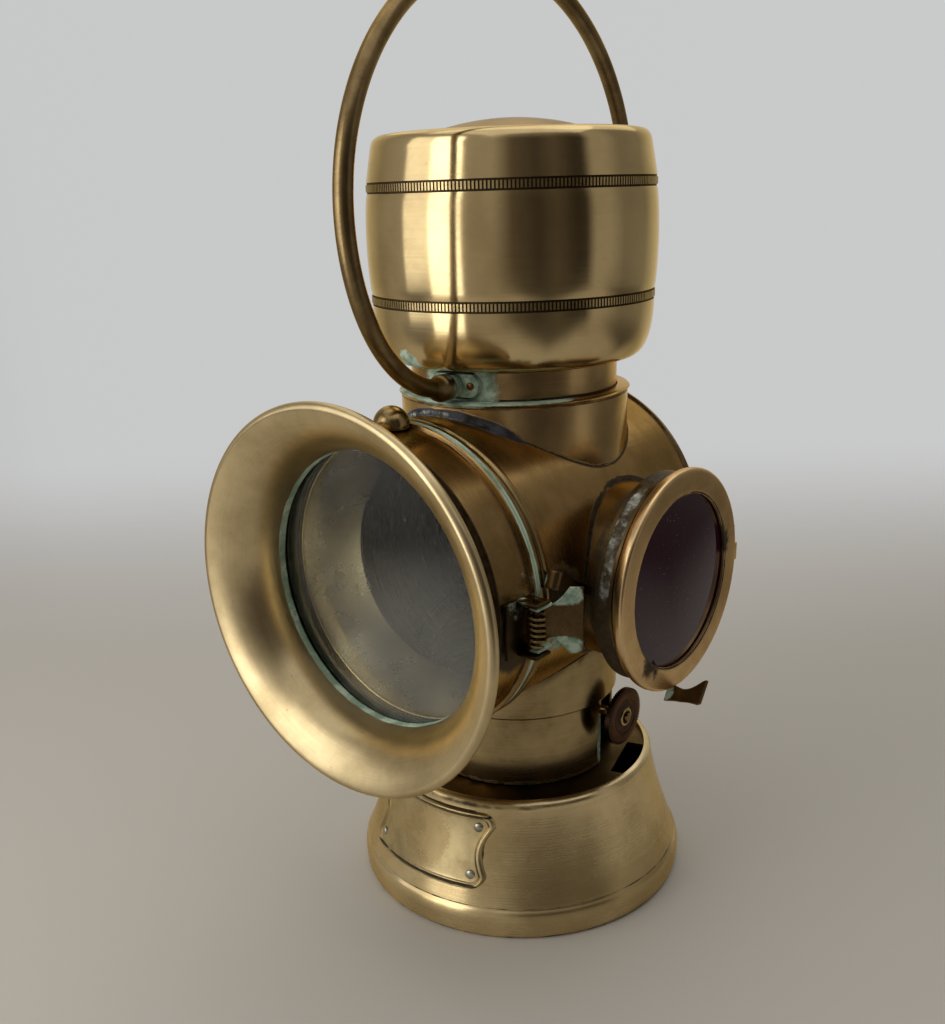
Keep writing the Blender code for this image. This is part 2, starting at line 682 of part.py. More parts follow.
def make_drum():
    """The drum with its three holes, its beaded ring, back plate and two reflectors."""
    place = (0, 0, DRUM_Z)
    inner_r = DRUM_R - SHEET
    outline = [(DRUM_R, DRUM_FRONT), (DRUM_R, DRUM_BACK), (inner_r, DRUM_BACK), (inner_r, DRUM_FRONT)]
    shell = turned("drum_shell", outline, CUT_ROUND, FRONTWARD, place)
    above = rod("chimney_hole", CHIMNEY_R - SHEET, 0, CUT_REACH, at=place, steps=ROUND, helper=True)
    below = rod("lower_hole", LOWER_TUBE_TOP_R - SHEET, -CUT_REACH, 0, at=place, steps=ROUND, helper=True)
    ruby_place = (0, 0, RUBY_Z)
    side = rod("ruby_hole", RUBY_NECK_R - SHEET, 0, CUT_REACH, SIDEWARD, ruby_place, steps=ROUND, helper=True)
    brass(cut(shell, above, below, side), DARK_BRASS)
    back = DRUM_FRONT + GAP
    bead = (RING_FRONT - back) / 4
    valley = RING_R - bead / 2
    outline = [(LIP_R, LIP_FRONT), (LIP_R, RING_FRONT), (valley, RING_FRONT), (RING_R, RING_FRONT - bead)]
    outline += [(valley, RING_FRONT - 2 * bead), (RING_R, back + bead), (valley, back)]
    outline += [(LIP_R - LIP_WALL, back), (LIP_R - LIP_WALL, LIP_FRONT)]
    ring = brass(turned("front_ring", outline, CUT_ROUND, FRONTWARD, place))
    seat = DRUM_BACK - GAP
    rear = seat - BACK_RISE
    rim = DRUM_R + SHEET / 2
    outline = [(0, rear + PLATE_T), (BACK_FLAT_R - PLATE_T, rear + PLATE_T), (rim - 4 * SHEET, seat)]
    edge = seat - PLATE_T
    outline += [(rim, seat), (rim + SHEET / 2, seat - PLATE_T / 2), (rim, edge), (rim - 2 * SHEET, edge)]
    outline += [(BACK_FLAT_R, rear), (0, rear)]
    plate = brass(turned("back_plate", outline, ROUND, FRONTWARD, place, closed=False), DARK_BRASS)
    rim_r = LIP_R - LIP_WALL - GAP
    front = LIP_FRONT
    outline = [(rim_r, front), (rim_r, front - SHEET), (REFLECTOR_R + SHEET, REFLECTOR_BACK)]
    outline += [(REFLECTOR_R, REFLECTOR_BACK), (REFLECTOR_R, REFLECTOR_BACK + SHEET), (rim_r - SHEET, front)]
    cone = turned("reflector_cone", outline, ROUND, FRONTWARD, place)
    finish(cone, SILVERED, 0.3, 1.0)
    spread = [DISH_R * i / DISH_STEPS for i in range(DISH_STEPS + 1)]
    face = [(r, DISH_RIM - DISH_DEPTH * (1 - (r / DISH_R) ** 2)) for r in spread]
    hollow = [(r, h - SHEET) for r, h in reversed(face) if r > DISH_STUD_R]
    stud_top = DISH_RIM - DISH_DEPTH * (1 - (DISH_STUD_R / DISH_R) ** 2) - SHEET
    stud = [(DISH_STUD_R, stud_top), (DISH_STUD_R, rear + PLATE_T + GAP), (0, rear + PLATE_T + GAP)]
    dish = turned("reflector_dish", face + hollow + stud, ROUND, FRONTWARD, place, closed=False)
    finish(dish, SILVERED, 0.3, 1.0)
    return shell, ring, plate, cone, dish


def make_socket():
    """The upright socket behind the drum that drops over a vehicle's lamp bracket."""
    face = -(DRUM_BACK - GAP - BACK_RISE) + GAP
    half = SOCKET_W / 2
    low = DRUM_Z - SOCKET_H / 2
    high = DRUM_Z + SOCKET_H / 2
    socket = block("bracket_socket", (-half, face, low), (half, face + SOCKET_D, high))
    wall = SOCKET_WALL
    corner = (half - wall, face + SOCKET_D - wall, high + wall)
    way = block("socket_way", (wall - half, face + wall, low - wall), corner, helper=True)
    cut(socket, way)
    edges = socket.modifiers.new("Edges", "BEVEL")
    edges.width = SOCKET_BEVEL
    edges.segments = 1
    return brass(socket, DARK_BRASS)


def make_chimney():
    """The chimney on its saddle, the neck, and the inner flue inside the cap."""
    low = DRUM_Z + DRUM_R / 2
    shoulder = CHIMNEY_TOP_Z - SHEET
    mouth = NECK_R + GAP
    bead = CHIMNEY_TOP_Z - SHEET / 2
    inner_r = CHIMNEY_R - SHEET
    outline = [(CHIMNEY_R - SHEET / 2, CHIMNEY_TOP_Z), (CHIMNEY_BEAD_R, bead), (CHIMNEY_R, bead - SHEET)]
    outline += [(CHIMNEY_R, low), (inner_r, low), (inner_r, shoulder), (mouth, shoulder)]
    outline += [(mouth, CHIMNEY_TOP_Z)]
    chimney = brass(cut(turned("chimney_tube", outline), drum_space))
    top = CAP_FLOOR_Z - GAP
    flange_top = shoulder - GAP
    flange_low = flange_top - NECK_FLANGE_T
    outline = [(NECK_R, top), (NECK_R, flange_top), (NECK_FLANGE_R, flange_top), (NECK_FLANGE_R, flange_low)]
    outline += [(NECK_R - SHEET, flange_low), (NECK_R - SHEET, top)]
    neck = brass(turned("neck_collar", outline))
    floor = CAP_FLOOR_Z + SHEET + GAP
    flange = NECK_R - 2 * SHEET
    outline = [(FLUE_R, FLUE_TOP_Z), (FLUE_R, floor + SHEET), (flange, floor + SHEET), (flange, floor)]
    outline += [(FLUE_R - SHEET, floor), (FLUE_R - SHEET, FLUE_TOP_Z)]
    flue = brass(turned("inner_flue", outline), DARK_BRASS)
    return chimney, neck, flue


def make_cap():
    """The ventilator cap: bowl, barrel and lid, with a milled band at each seam and a low dome."""
    wall = SHEET
    rise = BOWL_TOP_Z - CAP_FLOOR_Z
    swell = BOWL_TOP_R - CAP_FLOOR_R
    turns = [math.pi / 2 * i / BOWL_STEPS for i in range(BOWL_STEPS + 1)]
    shape = [(math.cos(a) ** BOWL_FULLNESS, math.sin(a)) for a in turns]
    outer = [(CAP_FLOOR_R + swell * out, BOWL_TOP_Z - rise * down) for out, down in shape]
    inner = [(CAP_FLOOR_R + (swell - wall) * out, BOWL_TOP_Z - (rise - wall) * down) for out, down in shape]
    inner = list(reversed(inner[:-1]))
    hole = FLUE_R
    floor = [(hole, CAP_FLOOR_Z), (hole, CAP_FLOOR_Z + wall)]
    bowl = brass(turned("cap_bowl", outer + floor + inner), POLISHED)

    def band(name, low, radius):
        high = low + BAND_H
        face = radius + BAND_PROUD
        outline = [(face, high), (face, low), (radius - wall, low), (radius - wall, high)]
        return brass(turned(name, outline), BRASS)

    lower_low = BOWL_TOP_Z + GAP
    barrel_low = lower_low + BAND_H + GAP
    upper_low = BARREL_TOP_Z + GAP
    lid_low = upper_low + BAND_H + GAP
    lower = band("cap_band_lower", lower_low, BOWL_TOP_R)
    upper = band("cap_band_upper", upper_low, BARREL_TOP_R)
    middle = (barrel_low + BARREL_TOP_Z) / 2
    outer = [(BARREL_TOP_R, BARREL_TOP_Z), (BARREL_R, middle + rise / 3), (BARREL_R, middle - rise / 3)]
    outer += [(BOWL_TOP_R, barrel_low)]
    inner = [(BOWL_TOP_R - wall, barrel_low), (BARREL_R - wall, middle), (BARREL_TOP_R - wall, BARREL_TOP_Z)]
    barrel = brass(turned("cap_barrel", outer + inner), POLISHED)
    shoulder = LID_SHOULDER_R
    outline = [(LID_MOUTH_R + wall, LID_TOP_Z), (shoulder - wall, LID_TOP_Z - wall / 3)]
    outline += [(shoulder + wall / 3, LID_TOP_Z - 3 * wall / 2), (shoulder + wall, LID_TOP_Z - 4 * wall)]
    outline += [(BARREL_TOP_R, lid_low), (BARREL_TOP_R - wall, lid_low), (shoulder, LID_TOP_Z - 4 * wall)]
    outline += [(shoulder - 2 * wall, LID_TOP_Z - 2 * wall), (LID_MOUTH_R + wall, LID_TOP_Z - 2 * wall)]
    ledge_low = LID_LEDGE_Z - wall
    outline += [(LID_MOUTH_R + wall, ledge_low), (LID_LEDGE_R, ledge_low), (LID_LEDGE_R, LID_LEDGE_Z)]
    outline += [(LID_MOUTH_R, LID_LEDGE_Z), (LID_MOUTH_R, LID_TOP_Z - wall)]
    lid = brass(turned("cap_lid", outline), POLISHED)
    seat = LID_LEDGE_Z + GAP
    edge = LID_MOUTH_R - GAP
    crown = DOME_TOP_Z - seat - wall
    spread = [edge * i / DOME_STEPS for i in range(DOME_STEPS + 1)]
    top = [(r, seat + wall + crown * (1 - (r / edge) ** 2)) for r in spread]
    under = [(r, h - wall) for r, h in reversed(top)]
    dome = brass(turned("cap_dome", top + under, ROUND, closed=False), POLISHED)
    return bowl, lower, barrel, upper, lid, dome


def bail_frame(s, z):
    """A place in the bail's upright plane: s towards the front pivot, z up."""
    return Vector((s * math.sin(BAIL_TURN), -s * math.cos(BAIL_TURN), z))


def make_bail():
    """The bent wire handle with a swollen collar and a journal at each end, and the two lugs on the neck."""
    half = BAIL_HALF_WIDTH
    leg_w = half - BAIL_BEND_S
    leg_h = BAIL_MID_Z - BAIL_Z
    collar_end = LUG_OUT + GAP + BAIL_COLLAR_LENGTH
    leg = []
    for i in range(1, BAIL_LEG_STEPS + 1):
        a = math.pi / 2 * i / BAIL_LEG_STEPS
        s = BAIL_BEND_S + leg_w * math.cos(a)
        if s > collar_end + BAIL_WIRE_R:
            leg.append((s, BAIL_MID_Z - leg_h * math.sin(a)))
    arch = [math.pi * i / BAIL_ARCH_STEPS for i in range(BAIL_ARCH_STEPS + 1)]
    top = [(half * math.cos(a), BAIL_MID_Z + (BAIL_TOP_Z - BAIL_MID_Z) * math.sin(a)) for a in arch]
    swell = BAIL_COLLAR_R / BAIL_WIRE_R
    journal = BAIL_JOURNAL_R / BAIL_WIRE_R
    tip = NECK_R + 2 * GAP
    seat = LUG_OUT + GAP
    ends = [(tip, journal), (seat - GAP / 3, journal), (seat, swell), (collar_end - GAP, swell),
            (collar_end + BAIL_WIRE_R / 2, BAIL_EASE)]
    front_end = [((s, BAIL_Z), scale) for s, scale in ends]
    front = front_end + [(place, 1) for place in reversed(leg)]
    back = [((-s, z), scale) for (s, z), scale in reversed(front)]
    path = front + [(place, 1) for place in top] + back
    places = [bail_frame(s, z) for (s, z), _ in path]
    handle = brass(wire("bail_handle", places, BAIL_WIRE_R, [scale for _, scale in path]))
    lugs = [make_lug("bail_lug_front", BAIL_TURN), make_lug("bail_lug_rear", BAIL_TURN + math.pi)]
    return handle, lugs


def make_lug(name, turn):
    """A strap bent round the neck, with rounded ends and a boss that holds the bail's journal."""
    inner = NECK_R + GAP
    outer = inner + LUG_T
    half_h = LUG_H / 2
    lug = turned(name, [(outer, half_h), (outer, -half_h), (inner, -half_h), (inner, half_h)], 2 * ROUND)
    half_w = NECK_R * math.sin(LUG_HALF_ANGLE)
    flat = half_w - half_h
    trim = block(name + "_trim", (-flat, -CUT_REACH, -LUG_H), (flat, 0, LUG_H), helper=True)
    parts = [trim]
    end_r = half_h - MERGE
    for end, x in (("left", -flat), ("right", flat)):
        middle = (x, 0, 0)
        parts.append(rod(f"{name}_{end}", end_r, 0, CUT_REACH, FRONTWARD, middle, KNUCKLE_ROUND, helper=True))
    join(trim, *parts[1:])
    middle = (inner + outer) / 2
    boss = rod(name + "_boss", LUG_BOSS_R, middle, LUG_OUT, FRONTWARD, steps=KNUCKLE_ROUND, helper=True)
    hole_r = BAIL_JOURNAL_R + GAP
    hole = rod(name + "_hole", hole_r, 0, CUT_REACH, FRONTWARD, steps=KNUCKLE_ROUND, helper=True)
    frame = Matrix.Translation((0, 0, BAIL_Z)) @ Matrix.Rotation(turn, 4, "Z")
    bpy.context.view_layer.update()
    for piece in (lug, boss, hole, *parts):
        piece.matrix_world = frame @ piece.matrix_world
    combine(lug, trim, "INTERSECT")
    return brass(cut(join(lug, boss), hole), DARK_BRASS)


def to_hinge_side(*pieces):
    """Swing pieces built above the ruby light round its axis, to the side away from the catch."""
    bpy.context.view_layer.update()
    place = Matrix.Translation((0, 0, RUBY_Z))
    swing = place @ Matrix.Rotation(math.radians(-90), 4, "X") @ place.inverted()
    for piece in pieces:
        piece.matrix_world = swing @ piece.matrix_world


def make_ruby_neck():
    """The stepped side tube that carries the ruby door, and the bracket of its hinge."""
    place = (0, 0, RUBY_Z)
    back = RUBY_CUP_X - RUBY_CUP_L
    step = back - RUBY_CUP_SLOPE
    low = DRUM_R / 2
    outline = [(RUBY_CUP_R, RUBY_CUP_X), (RUBY_CUP_R, back), (RUBY_NECK_R, step), (RUBY_NECK_R, low)]
    outline += [(RUBY_NECK_R - SHEET, low), (RUBY_NECK_R - SHEET, step + SHEET / 2)]
    outline += [(RUBY_CUP_R - SHEET, back + SHEET / 2), (RUBY_CUP_R - SHEET, RUBY_CUP_X)]
    neck = brass(cut(turned("ruby_neck", outline, ROUND, SIDEWARD, place), drum_space))
    hinge_z = RUBY_Z + RUBY_HINGE_OUT
    hinge = (RUBY_HINGE_X, 0, hinge_z)
    knuckle = RUBY_KNUCKLE_R
    wide = RUBY_HINGE_HALF
    plate_x = RUBY_HINGE_X - knuckle - GAP
    plate = block("ruby_hinge_bracket", (plate_x - TAB_T, -wide, RUBY_Z + RUBY_CUP_R + GAP),
                  (plate_x, wide, hinge_z + knuckle / 2))
    inner = RUBY_KNUCKLE_HALF + GAP
    parts = [plate]
    for side, (near, far) in enumerate(((-wide, -inner), (inner, wide))):
        bridge = block(f"ruby_bridge_{side}", (plate_x - TAB_T / 2, near, hinge_z - knuckle / 4),
                       (RUBY_HINGE_X, far, hinge_z + knuckle / 2), helper=True)
        barrel = rod(f"ruby_barrel_{side}", knuckle, -far, -near, FRONTWARD, hinge, KNUCKLE_ROUND,
                     helper=True)
        join(plate, bridge, barrel)
        parts += [bridge, barrel]
    way_r = RUBY_PIN_R + GAP
    pin_way = rod("ruby_pin_way", way_r, -CUT_REACH, CUT_REACH, FRONTWARD, hinge, PIN_ROUND, helper=True)
    bracket = brass(cut(plate, pin_way), DARK_BRASS)
    pin = rod("ruby_hinge_pin", RUBY_PIN_R, -wide - GAP, wide + GAP, FRONTWARD, hinge, PIN_ROUND)
    brass(pin, DARK_BRASS)
    to_hinge_side(*parts, pin_way, pin)
    return neck, bracket, pin, pin_way


def make_ruby_door(pin_way):
    """The hinged bezel with its ruby glass, retainer ring and thumb tab."""
    place = (0, 0, RUBY_Z)
    back = RUBY_CUP_X + GAP
    edge = BEZEL_EDGE_R
    far = BEZEL_BACK_R
    outline = [(BEZEL_MOUTH_R, BEZEL_MOUTH_X)]
    outline += arc((BEZEL_R - edge, BEZEL_FRONT_X - edge), edge, math.pi / 2, 0, BEZEL_STEPS)
    outline += arc((BEZEL_R - far, back + far), far, 0, -math.pi / 2, BEZEL_STEPS)
    outline += [(BEZEL_POCKET_R, back), (BEZEL_POCKET_R, BEZEL_POCKET_X), (BEZEL_MOUTH_R, BEZEL_POCKET_X)]
    bezel = turned("ruby_bezel", outline, ROUND, SIDEWARD, place)
    hinge_z = RUBY_Z + RUBY_HINGE_OUT
    half = RUBY_KNUCKLE_HALF
    hinge = (RUBY_HINGE_X, 0, hinge_z)
    barrel = rod("bezel_barrel", RUBY_KNUCKLE_R, -half, half, FRONTWARD, hinge, KNUCKLE_ROUND, helper=True)
    web_x = RUBY_HINGE_X + RUBY_KNUCKLE_R - 2 * GAP
    web_low = RUBY_Z + BEZEL_R - BEZEL_PROUD
    web_top = web_x + RUBY_KNUCKLE_R
    web = block("bezel_web", (web_x, GAP - half, web_low), (web_top, half - GAP, hinge_z), helper=True)
    to_hinge_side(barrel, web)
    brass(cut(join(bezel, web, barrel), pin_way))
    glass_r = BEZEL_POCKET_R - GAP
    front = BEZEL_POCKET_X - GAP
    rear = front - RUBY_GLASS_T
    outline = [(0, front), (glass_r, front), (glass_r, rear), (0, rear)]
    glass = turned("ruby_glass", outline, ROUND, SIDEWARD, place, closed=False)
    finish(glass, RUBY, 0.08, 0)
    ring_front = rear - GAP
    ring_back = ring_front - RETAINER_T
    outline = [(glass_r, ring_front), (glass_r, ring_back), (RETAINER_R, ring_back), (RETAINER_R, ring_front)]
    ring = brass(turned("ruby_retainer", outline, ROUND, SIDEWARD, place), DARK_BRASS)
    across = (0, math.sin(TAB_TILT), math.cos(TAB_TILT))
    under = RUBY_Z - BEZEL_R - GAP - across[2] * TAB_ROOT_W / 2 - across[1] * TAB_T / 2
    stations = []
    for i in range(TAB_STEPS + 1):
        share = i / TAB_STEPS
        waist = 1 - math.sin(math.pi * min(share / TAB_WAIST_SPAN, 1))
        wide = TAB_ROOT_W + (TAB_END_W - TAB_ROOT_W) * share
        width = TAB_WAIST_W + (wide - TAB_WAIST_W) * waist
        rise = TAB_RISE * max(0, (share - TAB_CURL_START) / (1 - TAB_CURL_START)) ** TAB_CURL_POWER
        stations.append(((TAB_ROOT_X + TAB_LENGTH * share, 0, under + rise), across, width))
    tab = brass(strip("ruby_tab", stations, TAB_T), DARK_BRASS)
    return bezel, glass, ring, tab


def make_front_door():
    """The door's barrel, flared hood, glass, glass ring and vent cowl."""
    place = (0, 0, DRUM_Z)
    back = RING_FRONT + GAP
    flange = back + DOOR_FLANGE_T
    lip = DOOR_FRONT - BARREL_WALL
    inner_r = DOOR_BARREL_R - BARREL_WALL
    outline = [(DOOR_BARREL_R, DOOR_FRONT), (DOOR_BARREL_R, flange), (DOOR_FLANGE_R, flange - SHEET / 2)]
    outline += [(DOOR_FLANGE_R, back + SHEET / 2), (DOOR_BARREL_R, back), (inner_r, back), (inner_r, lip)]
    outline += [(DOOR_LIP_R, lip), (DOOR_LIP_R, DOOR_FRONT)]
    barrel = brass(turned("door_barrel", outline, CUT_ROUND, FRONTWARD, place), DARK_BRASS)
    steps = HOOD_ARC_STEPS
    last = HOOD_FLARE_ANGLE - HOOD_BEAD_R / HOOD_FLARE_R
    turns = [last * i / steps for i in range(steps + 1)]
    centre = (HOOD_THROAT_R + HOOD_FLARE_R, HOOD_THROAT)
    inside = [(centre[0] - HOOD_FLARE_R * math.cos(a), centre[1] + HOOD_FLARE_R * math.sin(a)) for a in turns]
    thin = HOOD_FLARE_R - SHEET
    outside = [(centre[0] - thin * math.cos(a), centre[1] + thin * math.sin(a)) for a in turns]
    middle = HOOD_FLARE_R - SHEET / 2
    tip = HOOD_FLARE_ANGLE
    bead_at = (centre[0] - middle * math.cos(tip), centre[1] + middle * math.sin(tip))
    bead = arc(bead_at, HOOD_BEAD_R, tip + HOOD_BEAD_FROM, tip + HOOD_BEAD_TO, HOOD_ARC_STEPS)
    flange_top = lip - GAP
    flange_low = HOOD_THROAT
    foot = [(HOOD_FLANGE_R, flange_top), (HOOD_FLANGE_R, flange_low), (HOOD_THROAT_R, flange_low)]
    collar = [(HOOD_THROAT_R + SHEET, flange_top)]
    outline = list(reversed(bead)) + list(reversed(outside[2:])) + collar + foot + inside[1:]
    hood = brass(turned("door_hood", outline, CUT_ROUND, FRONTWARD, place), POLISHED)
    glass_r = inner_r - GAP
    front = HOOD_THROAT - GAP
    rear = front - GLASS_T
    outline = [(0, front), (glass_r, front), (glass_r, rear), (0, rear)]
    glass = turned("front_glass", outline, CUT_ROUND, FRONTWARD, place, closed=False)
    finish(glass, CLEAR, 0.05, 0)
    ring_front = rear - GAP
    ring_back = ring_front - GLASS_RING_T
    bore = glass_r - GLASS_RING_W
    outline = [(glass_r, ring_front), (glass_r, ring_back), (bore, ring_back), (bore, ring_front)]
    ring = brass(turned("glass_ring", outline, CUT_ROUND, FRONTWARD, place), DARK_BRASS)
    mesh = bpy.data.meshes.new("vent_cowl")
    build = bmesh.new()
    bmesh.ops.create_uvsphere(build, u_segments=KNUCKLE_ROUND, v_segments=COWL_RINGS, radius=COWL_R)
    build.to_mesh(mesh)
    build.free()
    cowl = new_object("vent_cowl", mesh)
    cowl.location = (0, -COWL_FRONT, DRUM_Z + DOOR_BARREL_R + COWL_LIFT)
    clear = DOOR_FLANGE_R + GAP
    flange_space = rod("flange_space", clear, 0, flange + GAP, FRONTWARD, place, CUT_ROUND, helper=True)
    brass(cut(cowl, door_space, flange_space))
    return barrel, hood, glass, ring, cowl


def make_door_hinge():
    """Two leaves with interlocking knuckles on the side away from the catch, and the pin."""
    y = -(RING_FRONT + GAP / 2)
    leaf_in = -(DOOR_FLANGE_R + GAP)
    leaf_out = leaf_in - HINGE_LEAF_T
    leaf_mid = leaf_in - HINGE_LEAF_T / 2
    top = DRUM_Z + HINGE_HALF
    low = DRUM_Z - HINGE_HALF
    split = HINGE_MIDDLE_HALF
    line = (HINGE_X, y, 0)
    pin_way = rod("hinge_pin_way", HINGE_PIN_R + GAP, 0, 2 * LONG_CUT, at=line, steps=PIN_ROUND, helper=True)
    clear = HINGE_KNUCKLE_R + GAP
    fixed = block("door_hinge_leaf_fixed", (leaf_out, y + clear, low), (leaf_in, y + HINGE_LEAF_LENGTH, top))
    for name, bottom, head in (("low", low, DRUM_Z - split - GAP), ("high", DRUM_Z + split + GAP, top)):
        tongue = block(f"fixed_tongue_{name}", (HINGE_X, y + HINGE_PIN_R / 2, bottom + GAP),
                       (leaf_mid, y + 2 * clear, head - GAP), helper=True)
        knuckle = rod(f"fixed_knuckle_{name}", HINGE_KNUCKLE_R, bottom, head, at=line, steps=KNUCKLE_ROUND,
                      helper=True)
        join(fixed, tongue, knuckle)
    brass(cut(fixed, pin_way), DARK_BRASS)
    moving = block("door_hinge_leaf", (leaf_out, y - HINGE_LEAF_LENGTH, low), (leaf_in, y - clear, top))
    tongue = block("moving_tongue", (HINGE_X, y - 2 * clear, DRUM_Z - split + GAP),
                   (leaf_mid, y - HINGE_PIN_R / 2, DRUM_Z + split - GAP), helper=True)
    bottom = DRUM_Z - split
    head = DRUM_Z + split
    knuckle = rod("moving_knuckle", HINGE_KNUCKLE_R, bottom, head, at=line, steps=KNUCKLE_ROUND, helper=True)
    brass(cut(join(moving, tongue, knuckle), pin_way), DARK_BRASS)
    pin = rod("door_hinge_pin", HINGE_PIN_R, low - GAP, top + GAP, at=line, steps=PIN_ROUND)
    brass(pin, DARK_BRASS)
    return fixed, moving, pin, y


def make_catch():
    """The spring catch: a bracket with two ears on the door, the pin, the spring and the lever."""
    y = -CATCH_PIN_FRONT
    foot = DOOR_BARREL_R + GAP
    deep = CATCH_EAR_D / 2
    ear = CATCH_EAR_HALF
    thick = CATCH_EAR_T
    corner = (foot, SHEET - DOOR_FRONT, CATCH_Z - ear)
    bracket = block("catch_bracket", corner, (foot + thick, y + deep, CATCH_Z + ear))
    for name, low in (("low", CATCH_Z - ear), ("high", CATCH_Z + ear - thick)):
        corner = (CATCH_EAR_OUT, y + deep, low + thick)
        join(bracket, block(f"bracket_ear_{name}", (foot + thick / 2, y - deep, low), corner, helper=True))
    line = (CATCH_PIN_X, y, 0)
    way = rod("catch_pin_way", CATCH_PIN_R + GAP, 0, 2 * LONG_CUT, at=line, steps=PIN_ROUND, helper=True)
    brass(cut(bracket, way), DARK_BRASS)
    reach = ear + thick
    pin = brass(rod("catch_pin", CATCH_PIN_R, CATCH_Z - reach, CATCH_Z + reach, at=line, steps=PIN_ROUND))
    inside = RING_R + GAP + LEVER_T / 2
    stations = []
    for i in range(LEVER_STEPS + 1):
        share = i / LEVER_STEPS
        curl = max(0, (share - LEVER_CURL_START) / (1 - LEVER_CURL_START))
        out = LEVER_WING_RISE * curl ** LEVER_CURL_POWER
        belly = math.sin(math.pi * min(share / LEVER_WAIST_SPAN, 1))
        width = LEVER_WING_W - (LEVER_WING_W - LEVER_WAIST_W) * belly
        width = min(width, 2 * LEVER_EAR_HALF) if share < LEVER_EAR_SPAN else width
        stations.append(((inside + out, y + deep + GAP + LEVER_LENGTH * share, CATCH_Z), (0, 0, 1), width))
    lever = strip("catch_lever", stations, LEVER_T)
    for name, low in (("low", CATCH_Z - LEVER_EAR_HALF), ("high", CATCH_Z + LEVER_EAR_HALF - LEVER_T)):
        corner = (CATCH_PIN_X + deep / 2, y + deep + 5 * GAP, low + LEVER_T)
        join(lever, block(f"lever_ear_{name}", (inside, y - deep / 2, low), corner, helper=True))
    brass(cut(lever, way), DARK_BRASS)
    rise = LEVER_EAR_HALF - LEVER_T - GAP - SPRING_WIRE_R
    turns = SPRING_TURNS * SPRING_POINTS
    points = []
    for i in range(turns + 1):
        angle = 2 * math.pi * i / SPRING_POINTS
        height = CATCH_Z - rise + 2 * rise * i / turns
        turn = Vector((math.cos(angle), math.sin(angle), 0))
        points.append(Vector((CATCH_PIN_X, y, height)) + SPRING_R * turn)
    apart = SPRING_POINTS // 2
    least = min((near - far).length for i, near in enumerate(points) for far in points[i + apart:])
    print(f"catch_spring: least gap between turns {1000 * (least - 2 * SPRING_WIRE_R):.2f} mm")
    spring = brass(wire("catch_spring", points, SPRING_WIRE_R, sides=1), DARK_BRASS)
    return bracket, pin, spring, lever


def make_keeper():
    """The tapered strap from the front ring to the ruby neck, with the rolled end of the catch."""
    seat = RING_R + GAP + KEEPER_T / 2
    front = Vector((seat, (RING_W - GAP) / 2 - RING_FRONT, DRUM_Z + KEEPER_RISE))
    tip = Vector((seat, -RUBY_NECK_R - KEEPER_CLEAR, front.z - KEEPER_FALL))
    along = (tip - front).normalized()
    out = Vector((1, 0, 0))
    across = along.cross(out)
    centre = front + KEEPER_ROLL_R * out
    stations = []
    for i in range(KEEPER_ROLL_STEPS, -1, -1):
        turn = KEEPER_ROLL_TURN * i / KEEPER_ROLL_STEPS
        spoke = math.cos(turn) * out + math.sin(turn) * along
        stations.append((centre - KEEPER_ROLL_R * spoke, across, KEEPER_W))
    stations.append((tip, across, KEEPER_TIP_W))
    return brass(strip("catch_keeper", stations, KEEPER_T), DARK_BRASS)


def main():
    skirt, floor, tank = make_foot()
    collar, cone, tube, wick = make_burner()
    plate = make_name_plate()
    base = pivot("base", (0, 0, 0))
    carry(base, skirt, floor, tank, collar, cone, tube, plate)
    winder = pivot("wick_winder", (0, SPINDLE_Y, SPINDLE_Z))
    carry(winder, *make_winder())
    lift = pivot("wick_slide", (0, 0, WICK_LOW_Z))
    carry(lift, wick)
    body = pivot("lamp_body", (0, 0, LOWER_STEP_Z))
    handle, lugs = make_bail()
    neck, ruby_bracket, ruby_pin, ruby_pin_way = make_ruby_neck()
    fixed_leaf, door_leaf, hinge_pin, hinge_y = make_door_hinge()
    catch_bracket, catch_pin, spring, lever = make_catch()
    carry(body, make_lower_tube(), *make_drum(), make_socket(), *make_chimney(), *make_cap(), *lugs)
    carry(body, neck, ruby_bracket, ruby_pin, fixed_leaf, hinge_pin, make_keeper())
    door = pivot("front_door", (HINGE_X, hinge_y, DRUM_Z))
    carry(door, *make_front_door(), door_leaf, catch_bracket, catch_pin, spring)
    thumb = pivot("catch_thumb", (CATCH_PIN_X, -CATCH_PIN_FRONT, CATCH_Z))
    carry(thumb, lever)
    ruby = pivot("ruby_door", (RUBY_HINGE_X, RUBY_HINGE_OUT, RUBY_Z))
    carry(ruby, *make_ruby_door(ruby_pin_way))
    bail = pivot("bail", (0, 0, BAIL_Z))
    carry(bail, handle)
    carry(base, winder, lift, body)
    carry(body, door, ruby, bail)
    carry(door, thumb)


main()
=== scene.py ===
"""Looks of an aged brass oil side lamp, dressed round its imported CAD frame.

All sizes in the classes are millimetres in the frame's own axes: +Z up, the front glass faces -Y and the
ruby light faces +X. Meshes are written in metres.
"""

from __future__ import annotations

import json
import logging
import math
from abc import ABC, abstractmethod
from dataclasses import dataclass
from enum import Enum
from functools import partial
from typing import Callable, Optional, Sequence, Union

import bmesh
import bpy
from mathutils import Matrix, Vector

